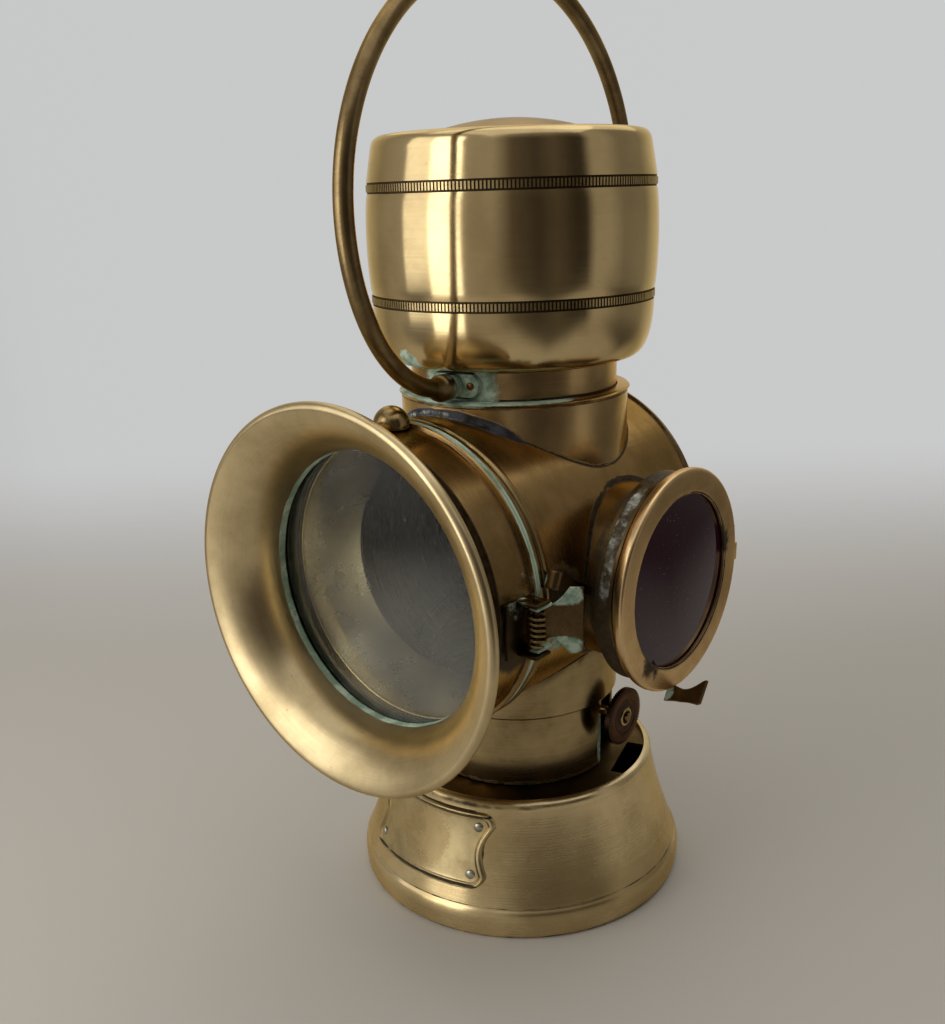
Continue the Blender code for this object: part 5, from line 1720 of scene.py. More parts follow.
@dataclass
class Ventilator(Assembly):
    """The chimney, neck, cap and the bail with its lugs."""

    chimney_r: float = 32.6
    chimney_bore: Point = (31.7, 29.7)
    chimney_lip: Points = ((32.2, 0), (32.8, 0.15), (33.2, 0.55), (32.9, 1.0))
    neck_z: Triple = (151.9, 153.4, 162.7)
    neck_flange: float = 31.3
    neck_bore: float = 28.5
    bowl_z: Point = (162.8, 178.3)
    bowl_r: float = 31.0
    bowl_swell: float = 8.4
    bowl_fullness: float = 0.6
    flue_r: float = 24.0
    barrel_z: Point = (181.2, 207.0)
    barrel_r: Point = (39.4, 40.2)
    lid_curve: Points = (
        (39.4, 209.9), (38.75, 213.5), (38.05, 217.2), (37.75, 218.8), (37.2, 220.2), (36.1, 221.2),
        (34.6, 221.55), (33.0, 221.6), (32.1, 221.3), (31.8, 220.5),
    )
    lid_inside: Points = (
        (31.8, 217.0), (28.0, 217.0), (28.0, 216.1), (32.7, 216.1), (32.7, 219.8), (35.2, 219.8),
        (37.0, 218.0), (38.5, 209.9),
    )
    band_lows: tuple[tuple[str, float], ...] = (("lower", 178.6), ("upper", 207.3))
    band_h: float = 2.3
    band_r: float = 39.2
    teeth: int = 252
    tooth: Triple = (0.5, 0.54, 1.85)
    dome_r: float = 31.5
    dome_z: float = 218.2
    dome_rise: float = 7.0
    lug_half: Point = (7.6, 3.49)
    lug_corner: float = 3.46
    lug_edges: Points = ((0, -0.3), (0, 1.05), (0.15, 1.32), (0.4, 1.4))
    lug_rivet: float = 5.3
    lug_head: Point = (1.05, 0.55)
    boss_r: Point = (3.4, 2.2)
    boss_out: Point = (29.6, 33.5)
    bail_half: float = 71.2
    bail_mid: float = 203.0
    bail_rise: float = 59.0
    bail_bend: float = 34.5
    bail_end: Point = (30.2, 1.9)
    bail_seat: float = 33.8
    bail_collar: Points = ((0, 1.9), (0.05, 3.2), (0.5, 3.55), (3.4, 3.6), (4.4, 3.1))
    collar_end: float = 5.6
    wire_r: float = 2.38

    def dress(self) -> None:
        """Make the ventilator's pieces."""
        self._chimney()
        self._neck()
        self._cap()
        self._dome()
        self._bands()
        self._lugs()
        self._bail()

    def lug_side(self, reach: float, up: float) -> Place:
        """A place in the bail's plane, at a reach to the front that is negative behind."""
        return tuple(wrapped(reach, SIZE.bail_turn, 0, up))

    def _chimney(self) -> None:
        """The chimney on its saddle."""
        top = SIZE.chimney_top
        brass = self.metal(
            "chimney_brass", (0.62, 0.440, 0.215), (0.34, 0.230, 0.105),
            grime(0.62, 250.0, drum_shell(42.0, 0.3, 0.8)),
            bluing(1.1, 200.0, drum_shell(42.4, 1.2, 2.0), Ball((2, -32, 149), 21, 9)),
            pale(0.56, 900.0, drum_shell(42.6, 0.9, 1.4), Ball((-6, -32, 149), 14, 8)),
            grime(0.7, 400.0, Layer(2, top - 1.5, 0.1, 0.35)),
            verdigris(0.9, 330.0, Ball(self.lug_side(31, 157), 13.0, 6.0), Layer(2, top - 0.2, 1.0, 1.4)),
            verdigris(1.0, 160.0, Ball(self.lug_side(31, 157), 36.0, 14.0), Layer(2, top + 0.1, 0.5, 0.5)),
            rough=0.22, lines=Axis.UP, spun=0.75,
        )
        out, (bore, mouth), under = self.chimney_r, self.chimney_bore, top - SIZE.sheet
        outline = [(mouth, top)] + [(r, top - down) for r, down in self.chimney_lip]
        outline += [(out, top - 1.3), (out, SEAT), (bore, SEAT), (bore, under), (mouth, under)]
        chimney = lathe(outline, level=partial(drum_level, Axis.UP, 1))
        self.piece("chimney", chimney, brass, Body.LAMP, Slot.BRASS, "chimney_tube")

    def _neck(self) -> None:
        """The neck between the chimney and the cap, and the flue inside."""
        brass = self.metal(
            "neck_brass", (0.54, 0.375, 0.180), (0.26, 0.172, 0.080),
            grime(0.85, 350.0, Layer(2, 154.9, 0.3, 0.5)),
            grime(0.85, 350.0, Layer(2, 162.3, 0.2, 0.5)),
            verdigris(0.95, 330.0, Ball(self.lug_side(30, 157.5), 12.5, 8.0)),
            rough=0.24, lines=Axis.UP, spun=0.75,
        )
        out, flange, bore, (low, step, high) = SIZE.neck_r, self.neck_flange, self.neck_bore, self.neck_z
        outline = [(out, high), (out, step), (flange, step), (flange, low), (bore, low), (bore, high)]
        self.piece("neck", lathe(outline), brass, Body.LAMP, Slot.BRASS, "neck_collar")
        near_black = self.metal("flue_soot", (0.07, 0.05, 0.03), SOOT_AND_SHADE, rough=0.55)
        self.node("inner_flue", near_black)

    def _cap(self) -> None:
        """The bowl, barrel and lid, spun and polished."""
        brass = self.metal(
            "cap_brass", (0.70, 0.545, 0.290), (0.50, 0.370, 0.185),
            grime(0.8, 330.0, Layer(2, 162.7, 0.2, 0.6)),
            verdigris(0.85, 380.0, Ball((-7.0, -34.6, 165.4), 4.5, 2.6)),
            verdigris(0.7, 380.0, Ball(self.lug_side(33, 164), 4.0, 2.6)),
            grime(1.8, 900.0, Ball((22.6, -33.3, 203.6), 0.35, 0.2)),
            dullness=0.34, rough=0.165, lines=Axis.UP, line_depth=0.04, cloud=38.0, spun=0.8,
        )
        wall = SIZE.sheet
        low, high = self.bowl_z
        turns = [math.pi / 2 * i / 36 for i in range(36)]
        shape = [(math.cos(a) ** self.bowl_fullness, math.sin(a)) for a in turns]
        tall, swell, foot = high - low, self.bowl_swell, self.bowl_r
        outer = [(foot + swell * out, high - tall * down) for out, down in shape] + [(foot, low)]
        inner = [(foot + (swell - wall) * out, high - (tall - wall) * down) for out, down in shape]
        bowl = lathe(outer + [(self.flue_r, low), (self.flue_r, low + wall)] + inner[::-1])
        self.piece("bowl", bowl, brass, Body.LAMP, Slot.POLISHED, "cap_bowl")
        low, high = self.barrel_z
        end, mid = self.barrel_r
        levels = [low + (high - low) * i / 24 for i in range(25)]
        curve = [(end + (mid - end) * math.sin(math.pi * i / 24) ** 0.6, z) for i, z in enumerate(levels)]
        barrel = lathe(curve[::-1] + [(r - wall, z) for r, z in curve])
        self.piece("barrel", barrel, brass, Body.LAMP, Slot.POLISHED, "cap_barrel")
        lid = lathe(pairs(through(self.lid_curve, 4)) + list(self.lid_inside))
        self.piece("lid", lid, brass, Body.LAMP, Slot.POLISHED, "cap_lid")

    def _dome(self) -> None:
        """The low dome in the lid's mouth."""
        pink = self.metal(
            "dome_brass", (0.40, 0.300, 0.180), (0.27, 0.200, 0.110),
            grime(0.9, 350.0, upright_shell(self.dome_r - 0.2, 0.2, 0.5)),
            rough=0.30, lines=Axis.UP, dullness=0.4,
        )
        spread = [self.dome_r * i / 24 for i in range(25)]
        top = [(r, self.dome_z + self.dome_rise * (1 - (r / self.dome_r) ** 2)) for r in spread]
        dome = lathe(top + [(r, z - SIZE.sheet) for r, z in reversed(top)], closed=False)
        self.piece("dome", dome, pink, Body.LAMP, Slot.POLISHED, "cap_dome")

    def _bands(self) -> None:
        """The two milled bands at the cap's seams."""
        brass = self.metal("band_brass", (0.62, 0.475, 0.245), (0.4, 0.295, 0.145), rough=0.26, cloud=300.0)
        dark = self.metal("band_shadow", (0.07, 0.048, 0.024), (0.025, 0.018, 0.01), rough=0.5)
        out, wall = self.band_r, SIZE.sheet
        for name, low in self.band_lows:
            high, under = low + self.band_h + 0.25, low - 0.25
            ring = lathe(hoop(out, out - wall, under, high))
            self.piece(f"band_{name}", ring, dark, Body.LAMP, Slot.BRASS, f"cap_band_{name}")
            place = Matrix.Translation(Vector((0, 0, low + self.band_h / 2)))
            teeth = ring_of_teeth(f"band_teeth_{name}", self.teeth, out + 0.08, self.tooth, place, brass)
            self.piece(f"band_teeth_{name}", teeth, brass, Body.LAMP, Slot.BRASS)

    def on_neck(self, turn: float, across: float, up: float, height: float) -> Vector:
        """Put a point of the strap at a turn on the neck, at a height above the strap's back."""
        return wrapped(SIZE.neck_r + SIZE.gap + height, turn, across, SIZE.bail_z + up)

    def _lugs(self) -> None:
        """The straps round the neck that carry the bail, each with two rivets."""
        high = SIZE.bail_z
        brass = self.metal(
            "lug_brass", (0.26, 0.18, 0.08), BROWN_BRASS,
            verdigris(1.05, 330.0, Ball(self.lug_side(31, high - 1.0), 12.0, 4.0)),
            grime(0.9, 400.0, Layer(2, high - 3.3, 0.1, 0.5)),
            grime(0.9, 400.0, Layer(2, high + 3.3, 0.1, 0.5)),
            rough=0.34,
        )
        red = self.metal("lug_rivet", (0.30, 0.12, 0.06), (0.16, 0.066, 0.036), rough=0.38)
        outline = rounded_rectangle(*self.lug_half, self.lug_corner)
        (out, bore), (low, top) = self.boss_r, self.boss_out
        ring = rounded(hoop(out, bore, top, low), 0.5)
        for name, turn in (("front", SIZE.bail_turn), ("rear", SIZE.bail_turn + math.pi)):
            strap = mapped_plate(outline, self.lug_edges, partial(self.on_neck, turn), 7)
            cup = lathe(ring, Axis.FRONT, segments=SMALL_ROUND)
            cup.transform(Matrix.Translation((0, 0, high * MM)) @ Matrix.Rotation(turn, 4, "Z"))
            lug = joined(strap, cup)
            self.piece(f"lug_{name}", lug, brass, Body.LAMP, Slot.DARK, f"bail_lug_{name}")
            heads = [self.on_neck(turn, across, 0, 1.35) for across in (-self.lug_rivet, self.lug_rivet)]
            spots = [(head, Vector((head.x, head.y, 0)).normalized()) for head in heads]
            mesh = rivets(f"lug_rivets_{name}", spots, *self.lug_head, red)
            self.piece(f"lug_rivets_{name}", mesh, red, Body.LAMP, Slot.COPPER)

    def _bail(self) -> None:
        """The bent wire handle."""
        high, seat = SIZE.bail_z, self.bail_seat
        collar = self.lug_side(35.5, high)
        brass = self.metal(
            "bail_brass", (0.29, 0.205, 0.098), (0.155, 0.105, 0.048),
            grime(0.62, 300.0, Ball(collar, 4.5, 3.0)),
            verdigris(0.68, 420.0, Ball(collar, 4.5, 2.5)),
            grime(0.7, 300.0, Ball(self.lug_side(-35.5, high), 5.0, 3.0)),
            rough=0.33, cloud=110.0, dullness=0.45, pitting=0.1,
        )
        ends = [self.bail_end] + [(seat + out, r) for out, r in self.bail_collar]
        path = [(s, high, r) for s, r in ends]
        for step in range(60):
            turn = math.pi / 2 * (1 - step / 60)
            s = self.bail_bend + (self.bail_half - self.bail_bend) * math.cos(turn)
            if s > seat + self.collar_end:
                path.append((s, self.bail_mid - (self.bail_mid - high) * math.sin(turn), self.wire_r))
        side = list(path)
        for step in range(121):
            turn = math.pi * step / 120
            s, z = self.bail_half * math.cos(turn), self.bail_mid + self.bail_rise * math.sin(turn)
            path.append((s, z, self.wire_r))
        path += [(-s, z, r) for s, z, r in reversed(side)]
        points = [Vector(self.lug_side(s, z)) for s, z, _ in path]
        handle = sweep(points, [r for _, _, r in path], 22)
        self.piece("bail_wire", handle, brass, Body.BAIL, Slot.BRASS, "bail_handle")


@dataclass
class RubyLight(Assembly):
    """The stepped side tube and the hinged ruby light."""

    cup_r: float = 29.4
    cup_x: Point = (47.9, 53.1)
    slope: float = 1.7
    bezel_r: float = 31.2
    bezel_x: Point = (53.4, 57.3)
    mouth: Point = (24.3, 57.0)
    pocket: Point = (27.3, 56.3)
    front_edge: float = 1.0
    back_edge: float = 2.4
    glass_r: float = 27.0
    glass_x: Point = (54.5, 56.0)
    hinge: Point = (53.3, 33.0)
    knuckle_r: Point = (2.0, 1.2)
    knuckle_half: float = 3.0
    tab_x: float = 53.6
    tab_z: float = 71.26
    tab_length: float = 11.6
    tab_rise: float = 3.0
    tab_widths: Triple = (5.6, 3.8, 7.0)
    tab_tilt: float = math.radians(35)
    tab_t: float = 1.2

    def dress(self) -> None:
        """Make the ruby light's pieces."""
        self._neck()
        self._bezel()
        self._glass()
        self._tab()

    def _neck(self) -> None:
        """The side tube with the last of its white paint, and the hinge on it."""
        brass = self.metal(
            "ruby_neck_brass", (0.20, 0.135, 0.062), (0.08, 0.054, 0.026),
            grime(0.7, 330.0, drum_shell(42.2, 0.3, 0.6)),
            grime(0.62, 160.0, Layer(0, 48.0, 6.0, 2.0)),
            pale(0.72, 240.0, Layer(0, 50.6, 2.0, 1.4), Ball((50, -21, 120), 19, 8)),
            grime(0.58, 420.0, Layer(0, 50.6, 2.4, 1.4)),
            rough=0.32, lines=Axis.SIDE, centre=RUBY_PLACE,
        )
        wall = SIZE.sheet
        stem, (back, front) = SIZE.ruby_neck_r, self.cup_x
        step = back - self.slope
        cup, lift = self.cup_r, wall / 2
        outline = [(cup, front), (cup, back), (stem, step), (stem, SEAT), (stem - wall, SEAT)]
        outline += [(stem - wall, step + lift), (cup - wall, back + lift), (cup - wall, front)]
        neck = lathe(outline, Axis.SIDE, RUBY_PLACE, level=partial(drum_level, Axis.SIDE, 1))
        self.piece("side_tube", neck, brass, Body.LAMP, Slot.BRASS, "ruby_neck")
        dark = self.metal("hinge_brass", (0.26, 0.175, 0.08), BROWN_BRASS, rough=0.36)
        for node in ("ruby_hinge_bracket", "ruby_hinge_pin", "ruby_retainer"):
            self.node(node, dark)

    def _bezel(self) -> None:
        """The bezel with its hinge knuckle."""
        back, front = self.bezel_x
        brass = self.metal(
            "bezel_brass", (0.80, 0.570, 0.305), (0.48, 0.328, 0.165),
            grime(0.85, 350.0, ruby_shell(self.mouth[0] + 0.3, 0.1, 0.5)),
            grime(0.8, 350.0, Layer(0, back + 0.2, 0.2, 0.5)),
            grime(0.66, 260.0, Ball((57, 21, 112), 8.0, 5.0)),
            grime(0.62, 300.0, Ball((57, -15, 86), 8.0, 6.0)),
            polish(0.5, 160.0, ruby_shell(self.bezel_r - 0.8, 0.5, 0.6)),
            rough=0.30, lines=Axis.SIDE, centre=RUBY_PLACE,
        )
        near, far = self.front_edge, self.back_edge
        outline = [self.mouth, (self.mouth[0] + 0.5, front - 0.05), (self.mouth[0] + 1.0, front)]
        outline += arc((self.bezel_r - near, front - near), near, math.pi / 2, 0)
        outline += arc((self.bezel_r - far, back + far), far, 0, -math.pi / 2)
        outline += [(self.pocket[0], back), self.pocket, (self.mouth[0], self.pocket[1])]
        ring = lathe(outline, Axis.SIDE, RUBY_PLACE)
        x, y = self.hinge
        out, bore = self.knuckle_r
        low, high = SIZE.ruby_z - self.knuckle_half, SIZE.ruby_z + self.knuckle_half
        outline = rounded(hoop(out, bore, low, high), 0.2)
        barrel = lathe(outline, Axis.UP, (x, y, 0), segments=SMALL_ROUND)
        web = box((x + 1.4, self.cup_r, low + 0.3), (x + 3.4, y, high - 0.3), 0.4, 3)
        bezel = joined(ring, barrel, web)
        self.piece("bezel", bezel, brass, Body.RUBY, Slot.BRASS, "ruby_bezel")

    def _glass(self) -> None:
        """The dark ruby glass."""
        wine = Glass((0.034, 0.004, 0.016), 0.04, 0.12).material("wine_glass")
        rear, front = self.glass_x
        glass = disc(self.glass_r, rear, front, Axis.SIDE, RUBY_PLACE, 0.3)
        self.piece("ruby_lens", glass, wine, Body.RUBY, Slot.RUBY, "ruby_glass")

    def _tab(self) -> None:
        """The waisted thumb tab under the bezel."""
        dark = self.metal(
            "tab_brass", (0.17, 0.112, 0.05), (0.06, 0.04, 0.02),
            verdigris(0.8, 420.0, Ball((self.tab_x, 0, self.tab_z), 2.8, 1.6)),
            rough=0.36,
        )
        across = Vector((0, math.sin(self.tab_tilt), math.cos(self.tab_tilt)))
        root, waist, end = self.tab_widths
        stations = []
        for step in range(33):
            share = step / 32
            full = 1 - math.sin(math.pi * min(share / 0.9, 1))
            width = waist + (root + (end - root) * share - waist) * full
            rise = self.tab_rise * max(0.0, (share - 0.4) / 0.6) ** 1.4
            middle = Vector((self.tab_x + self.tab_length * share, 0, self.tab_z + rise))
            stations.append((middle, across, width))
        tab = ribbon(stations, self.tab_t, 12)
        self.piece("thumb_tab", tab, dark, Body.RUBY, Slot.DARK, "ruby_tab")


@dataclass
class FrontDoor(Assembly):
    """The hinged front: barrel, flared hood, glass, cowl, hinge and spring catch."""

    back: float = 46.8
    front: float = 61.1
    flange_r: float = 43.3
    mouth_r: float = 39.4
    throat: Point = (37.9, 59.0)
    lip: Point = (50.8, 75.2)
    lip_r: float = 1.6
    lip_curl: float = math.radians(112)
    lip_gap: float = math.radians(5)
    hood_seam: float = 60.6
    glass_r: float = 40.8
    glass_y: Point = (56.3, 58.7)
    ring_bore: float = 38.5
    cowl_at: Place = (0, -51.6, 151.6)
    cowl_r: float = 4.8
    hinge: Point = (-46.9, -46.65)
    hinge_half: float = 10.0
    leaf_x: Point = (-44.8, -43.6)
    leaf_y: Point = (2.7, 9.0)
    web_x: float = -44.2
    web_y: Point = (1.6, 5.4)
    web_z: Triple = (3.3, 4.2, 9.7)
    knuckle_z: Point = (3.6, 3.9)
    knuckle_r: Point = (2.4, 1.4)
    hinge_pin_r: float = 1.1
    catch_z: float = 106.5
    pin: Point = (46.8, -53.0)
    pin_r: float = 0.9
    bracket_x: Point = (42.3, 43.3)
    bracket_end: float = -60.2
    ear_half: float = 7.2
    ear_deep: float = 3.0
    ear_in: float = 42.8
    ear_t: float = 1.0
    ear_out: float = 49.0
    lever_x: float = 43.95
    lever_half: float = 5.9
    lever_length: float = 8.0
    lever_rise: float = 9.0
    lever_widths: Point = (17.6, 9.0)
    lever_t: float = 0.9
    lever_root: float = 3.3
    arm_out: float = 48.3
    arm_y: Point = (1.5, 4.5)
    spring: Triple = (2.1, 0.35, 6.0)
    keeper_front: Place = (44.0, -44.05, 116.2)
    keeper_tip: Place = (44.0, -25.8, 107.6)
    keeper_widths: Point = (4.6, 2.4)
    keeper_roll: float = 1.5
    keeper_curl: float = math.radians(230)

    def dress(self) -> None:
        """Make the door's pieces."""
        self._barrel()
        self._cowl()
        self._hood()
        self._glass()
        self._hinge()
        self._catch()
        self._spring()
        self._lever()
        self._keeper()

    def _barrel(self) -> None:
        """The door's barrel with its beaded flange."""
        brass = self.metal(
            "door_brass", (0.45, 0.290, 0.120), (0.22, 0.137, 0.054),
            # painted shade on the barrel's inner wall and mouth, between the glass and the hood
            grime(1.4, 200.0, drum_shell(40.4, 0.9, 0.3)),
            verdigris(0.78, 75.0, Layer(1, -47.0, 0.9, 0.9)),
            # grime with painted shade round the catch bracket
            grime(0.72, 170.0, Ball((41, -54, 104), 13, 9)),
            verdigris(0.56, 300.0, Ball((41, -49, 114), 9, 6)),
            grime(0.75, 350.0, Layer(1, -61.0, 0.2, 0.7)),
            grime(0.75, 350.0, Layer(1, -48.6, 0.1, 0.4)),
            dullness=0.5, rough=0.26, lines=Axis.FRONT, centre=DRUM_PLACE,
        )
        back, front, out, wall = self.back, self.front, SIZE.drum_r, SIZE.sheet
        inner, mouth = out - wall, self.mouth_r
        outline = [(out, front), (out, back + 1.7), (out + 0.5, back + 1.55), (out + 1.1, back + 1.3)]
        outline += [(self.flange_r, back + 0.8), (out + 1.1, back + 0.2), (out + 0.4, back), (inner, back)]
        outline += [(inner, front - wall), (mouth, front - wall), (mouth, front)]
        barrel = lathe(outline, Axis.FRONT, DRUM_PLACE)
        self.piece("door_tube", barrel, brass, Body.DOOR, Slot.DARK, "door_barrel")

    def _cowl(self) -> None:
        """The little vent cowl on top of the barrel."""
        worn = self.metal(
            "cowl_brass", (0.40, 0.29, 0.135), (0.18, 0.122, 0.054),
            grime(0.9, 400.0, drum_shell(42.3, 0.2, 0.5)),
            rough=0.24, cloud=150.0,
        )
        half = arc((0, 0), self.cowl_r, math.pi / 2, -math.pi / 2, 28)
        half[0], half[-1] = (0, self.cowl_r), (0, -self.cowl_r)
        ball = lathe(half, Axis.UP, self.cowl_at, False, 64)
        rests = []
        for reach, end in ((SIZE.drum_r, 80.0), (self.flange_r, self.back + 1.9)):
            rests.append(disc(reach + SIZE.gap, 0, end, Axis.FRONT, DRUM_PLACE))
        cowl = bored(ball, *rests)
        self.piece("cowl", cowl, worn, Body.DOOR, Slot.BRASS, "vent_cowl")

    def _hood(self) -> None:
        """The flared hood, which runs smoothly into its rolled edge."""
        brass = self.metal(
            "hood_brass", (0.66, 0.528, 0.306), (0.41, 0.320, 0.174),
            grime(0.9, 350.0, Layer(1, -59.4, 0.4, 0.9), drum_shell(38.0, 0.5, 0.5)),
            verdigris(0.88, 170.0, Layer(1, -60.0, 1.3, 1.0)),
            grime(0.8, 350.0, Layer(1, -61.4, 0.2, 0.6), drum_shell(40.0, 1.4, 0.6)),
            dullness=0.4, rough=0.32, lines=Axis.FRONT, centre=DRUM_PLACE, line_depth=0.12, cloud=45.0,
        )
        (low_r, low), (end_r, end), roll, wall = self.throat, self.lip, self.lip_r, SIZE.sheet
        across, along = end_r - low_r, end - low
        flare = (across**2 + along**2 - roll**2) / (2 * (across - roll))
        middle = (low_r + flare, low)
        last = math.atan2(along, flare - across)
        inside = arc(middle, flare, math.pi, math.pi - last, 44)
        bead = arc(self.lip, roll, math.pi - last, -last - self.lip_curl, 30)
        outside = arc(middle, flare - wall, math.pi - last + self.lip_gap, math.pi, 40)
        outside = [p for p in outside if p[1] > self.hood_seam]
        out, lift = self.glass_r, low + wall
        foot = [(low_r + wall, lift), (out, lift), (out, low)]
        hood = lathe(inside + bead[1:] + outside + foot, Axis.FRONT, DRUM_PLACE, segments=192)
        self.piece("hood", hood, brass, Body.DOOR, Slot.POLISHED, "door_hood")

    def _glass(self) -> None:
        """The clear front glass and the ring that holds it."""
        sheet = Glass((0.88, 0.92, 0.89), 0.0, 1.0, Ball((12, -57, 88), 24, 14))
        clear = sheet.material("old_clear_glass")
        back, front = self.glass_y
        glass = disc(self.glass_r, back, front, Axis.FRONT, DRUM_PLACE, 0.3)
        self.piece("glass", glass, clear, Body.DOOR, Slot.CLEAR, "front_glass")
        # painted shade: the glass ring is coloured near black for the dark gap between the glass and the
        # rim
        dark = self.metal("glass_ring_brass", (0.10, 0.07, 0.035), SOOT_AND_SHADE, rough=0.4)
        outline = hoop(self.glass_r, self.ring_bore, back - 1.8, back - 0.3)
        ring = lathe(rounded(outline, 0.3), Axis.FRONT, DRUM_PLACE)
        self.piece("glass_holder", ring, dark, Body.DOOR, Slot.DARK, "glass_ring")

    def knuckle(self, low: float, high: float) -> Mesh:
        """A hinge knuckle between two heights from the drum's middle."""
        outline = rounded(hoop(*self.knuckle_r, low, high), 0.25)
        return lathe(outline, Axis.UP, (*self.hinge, SIZE.drum_z), segments=SMALL_ROUND)

    def _hinge(self) -> None:
        """The butt hinge on the side away from the catch."""
        dark = self.metal("door_hinge_brass", (0.28, 0.19, 0.088), BROWN_BRASS, rough=0.34)
        x, y = self.hinge
        z, half, leaf, web = SIZE.drum_z, self.hinge_half, self.leaf_x, self.web_x
        (inner, outer), (near, far), (top, low, high) = self.leaf_y, self.web_y, self.web_z
        own, other = self.knuckle_z
        mesh = joined(
            box((leaf[0], y + inner, z - half), (leaf[1], y + outer, z + half), 0.3),
            box((x, y + near, z - high), (web, y + far, z - low), 0.2),
            box((x, y + near, z + low), (web, y + far, z + high), 0.2),
            self.knuckle(-half, -other),
            self.knuckle(other, half),
        )
        self.piece("hinge_fixed", mesh, dark, Body.LAMP, Slot.DARK, "door_hinge_leaf_fixed")
        mesh = joined(
            box((leaf[0], y - outer, z - half), (leaf[1], y - inner, z + half), 0.3),
            box((x, y - far, z - top), (web, y - near, z + top), 0.2),
            self.knuckle(-own, own),
        )
        self.piece("hinge_leaf", mesh, dark, Body.DOOR, Slot.DARK, "door_hinge_leaf")
        reach = half + 0.3
        pin = disc(self.hinge_pin_r, -reach, reach, Axis.UP, (x, y, z), 0.4, SMALL_ROUND)
        self.piece("hinge_pin", pin, dark, Body.LAMP, Slot.DARK, "door_hinge_pin")

    def _catch(self) -> None:
        """The bracket with two ears and its pin."""
        x, y = self.pin
        z, half, deep, thick = self.catch_z, self.ear_half, self.ear_deep, self.ear_t
        brown = self.metal(
            "catch_brown", (0.070, 0.048, 0.026), (0.022, 0.016, 0.010),
            verdigris(0.50, 420.0, Ball((43, y - 3, z + half), 7.0, 5.0)),
            rough=0.36,
        )
        inside, outside = self.bracket_x
        parts = [box((inside, self.bracket_end, z - half), (outside, y + deep, z + half), 0.25)]
        for low in (z - half, z + half - thick):
            parts.append(box((self.ear_in, y - deep, low), (self.ear_out, y + deep, low + thick), 0.35, 3))
        mesh = joined(*parts)
        self.piece("catch_ears", mesh, brown, Body.DOOR, Slot.DARK, "catch_bracket")
        reach = half + thick
        pin = disc(self.pin_r, -reach, reach, Axis.UP, (x, y, z), 0.35, 24)
        self.piece("catch_rod", pin, brown, Body.DOOR, Slot.BRASS, "catch_pin")

    def _spring(self) -> None:
        """The coil spring on the catch's pin."""
        dark = self.metal("spring_brass", (0.34, 0.24, 0.11), BROWN_BRASS, rough=0.32)
        radius, wire, turns = self.spring
        rise = self.lever_half - self.lever_t - SIZE.gap - wire
        foot = Vector((*self.pin, self.catch_z - rise))
        mesh = coil("coil_spring", turns, radius, 2 * rise, wire, foot, dark)
        self.piece("coil_spring", mesh, dark, Body.DOOR, Slot.DARK, "catch_spring")

    def _lever(self) -> None:
        """The lever with its two lobes, green at the lobes."""
        y, z, half, thick = self.pin[1], self.catch_z, self.lever_half, self.lever_t
        brass = self.metal(
            "lever_brass", (0.13, 0.082, 0.038), (0.045, 0.030, 0.016),
            verdigris(0.9, 330.0, Layer(2, z + 6.6, 2.8, 2.0), Layer(0, 49.5, 4.0, 3.0)),
            verdigris(0.9, 330.0, Layer(2, z - 6.6, 2.6, 2.0), Layer(0, 49.5, 4.0, 3.0)),
            rough=0.30,
        )
        wide, narrow = self.lever_widths
        stations = []
        for step in range(41):
            share = step / 40
            out = self.lever_rise * max(0.0, (share - 0.05) / 0.95) ** 1.2
            width = wide - (wide - narrow) * math.sin(math.pi * min(share / 0.75, 1))
            width = min(width, 2 * half) if share < 0.2 else width
            middle = Vector((self.lever_x + out, y + self.lever_root + self.lever_length * share, z))
            stations.append((middle, Vector((0, 0, 1)), width))
        parts = [ribbon(stations, thick, 12)]
        rear, fore = self.arm_y
        for low in (z - half, z + half - thick):
            parts.append(box((self.lever_x, y - rear, low), (self.arm_out, y + fore, low + thick), 0.2))
        mesh = joined(*parts)
        self.piece("thumb_lever", mesh, brass, Body.THUMB, Slot.DARK, "catch_lever")

    def _keeper(self) -> None:
        """The tapered strap from the ring to the side tube, with its rolled end."""
        brown = self.metal(
            "keeper_brown", (0.22, 0.14, 0.065), (0.085, 0.054, 0.027),
            verdigris(0.72, 420.0, Ball(self.keeper_front, 2.6, 1.6)),
            rough=0.30,
        )
        front, tip, out = Vector(self.keeper_front), Vector(self.keeper_tip), Vector((1, 0, 0))
        along = (tip - front).normalized()
        across = along.cross(out)
        centre = front + self.keeper_roll * out
        wide, narrow = self.keeper_widths
        stations = []
        for step in range(24, -1, -1):
            turn = self.keeper_curl * step / 24
            spoke = math.cos(turn) * out + math.sin(turn) * along
            stations.append((centre - self.keeper_roll * spoke, across, wide))
        for step in range(1, 9):
            share = step / 8
            stations.append((front.lerp(tip, share), across, wide + (narrow - wide) * share))
        strap = ribbon(stations, 1.0, 8)
        self.piece("keeper", strap, brown, Body.LAMP, Slot.DARK, "catch_keeper")


# Studio


@dataclass(frozen=True)
class Panel:
    """An area light that looks at the lamp: azimuth from the front, turning to the ruby side."""

    name: str
    azimuth: float
    elevation: float
    distance: float
    width: float
    height: float
    power: float
    colour: Colour


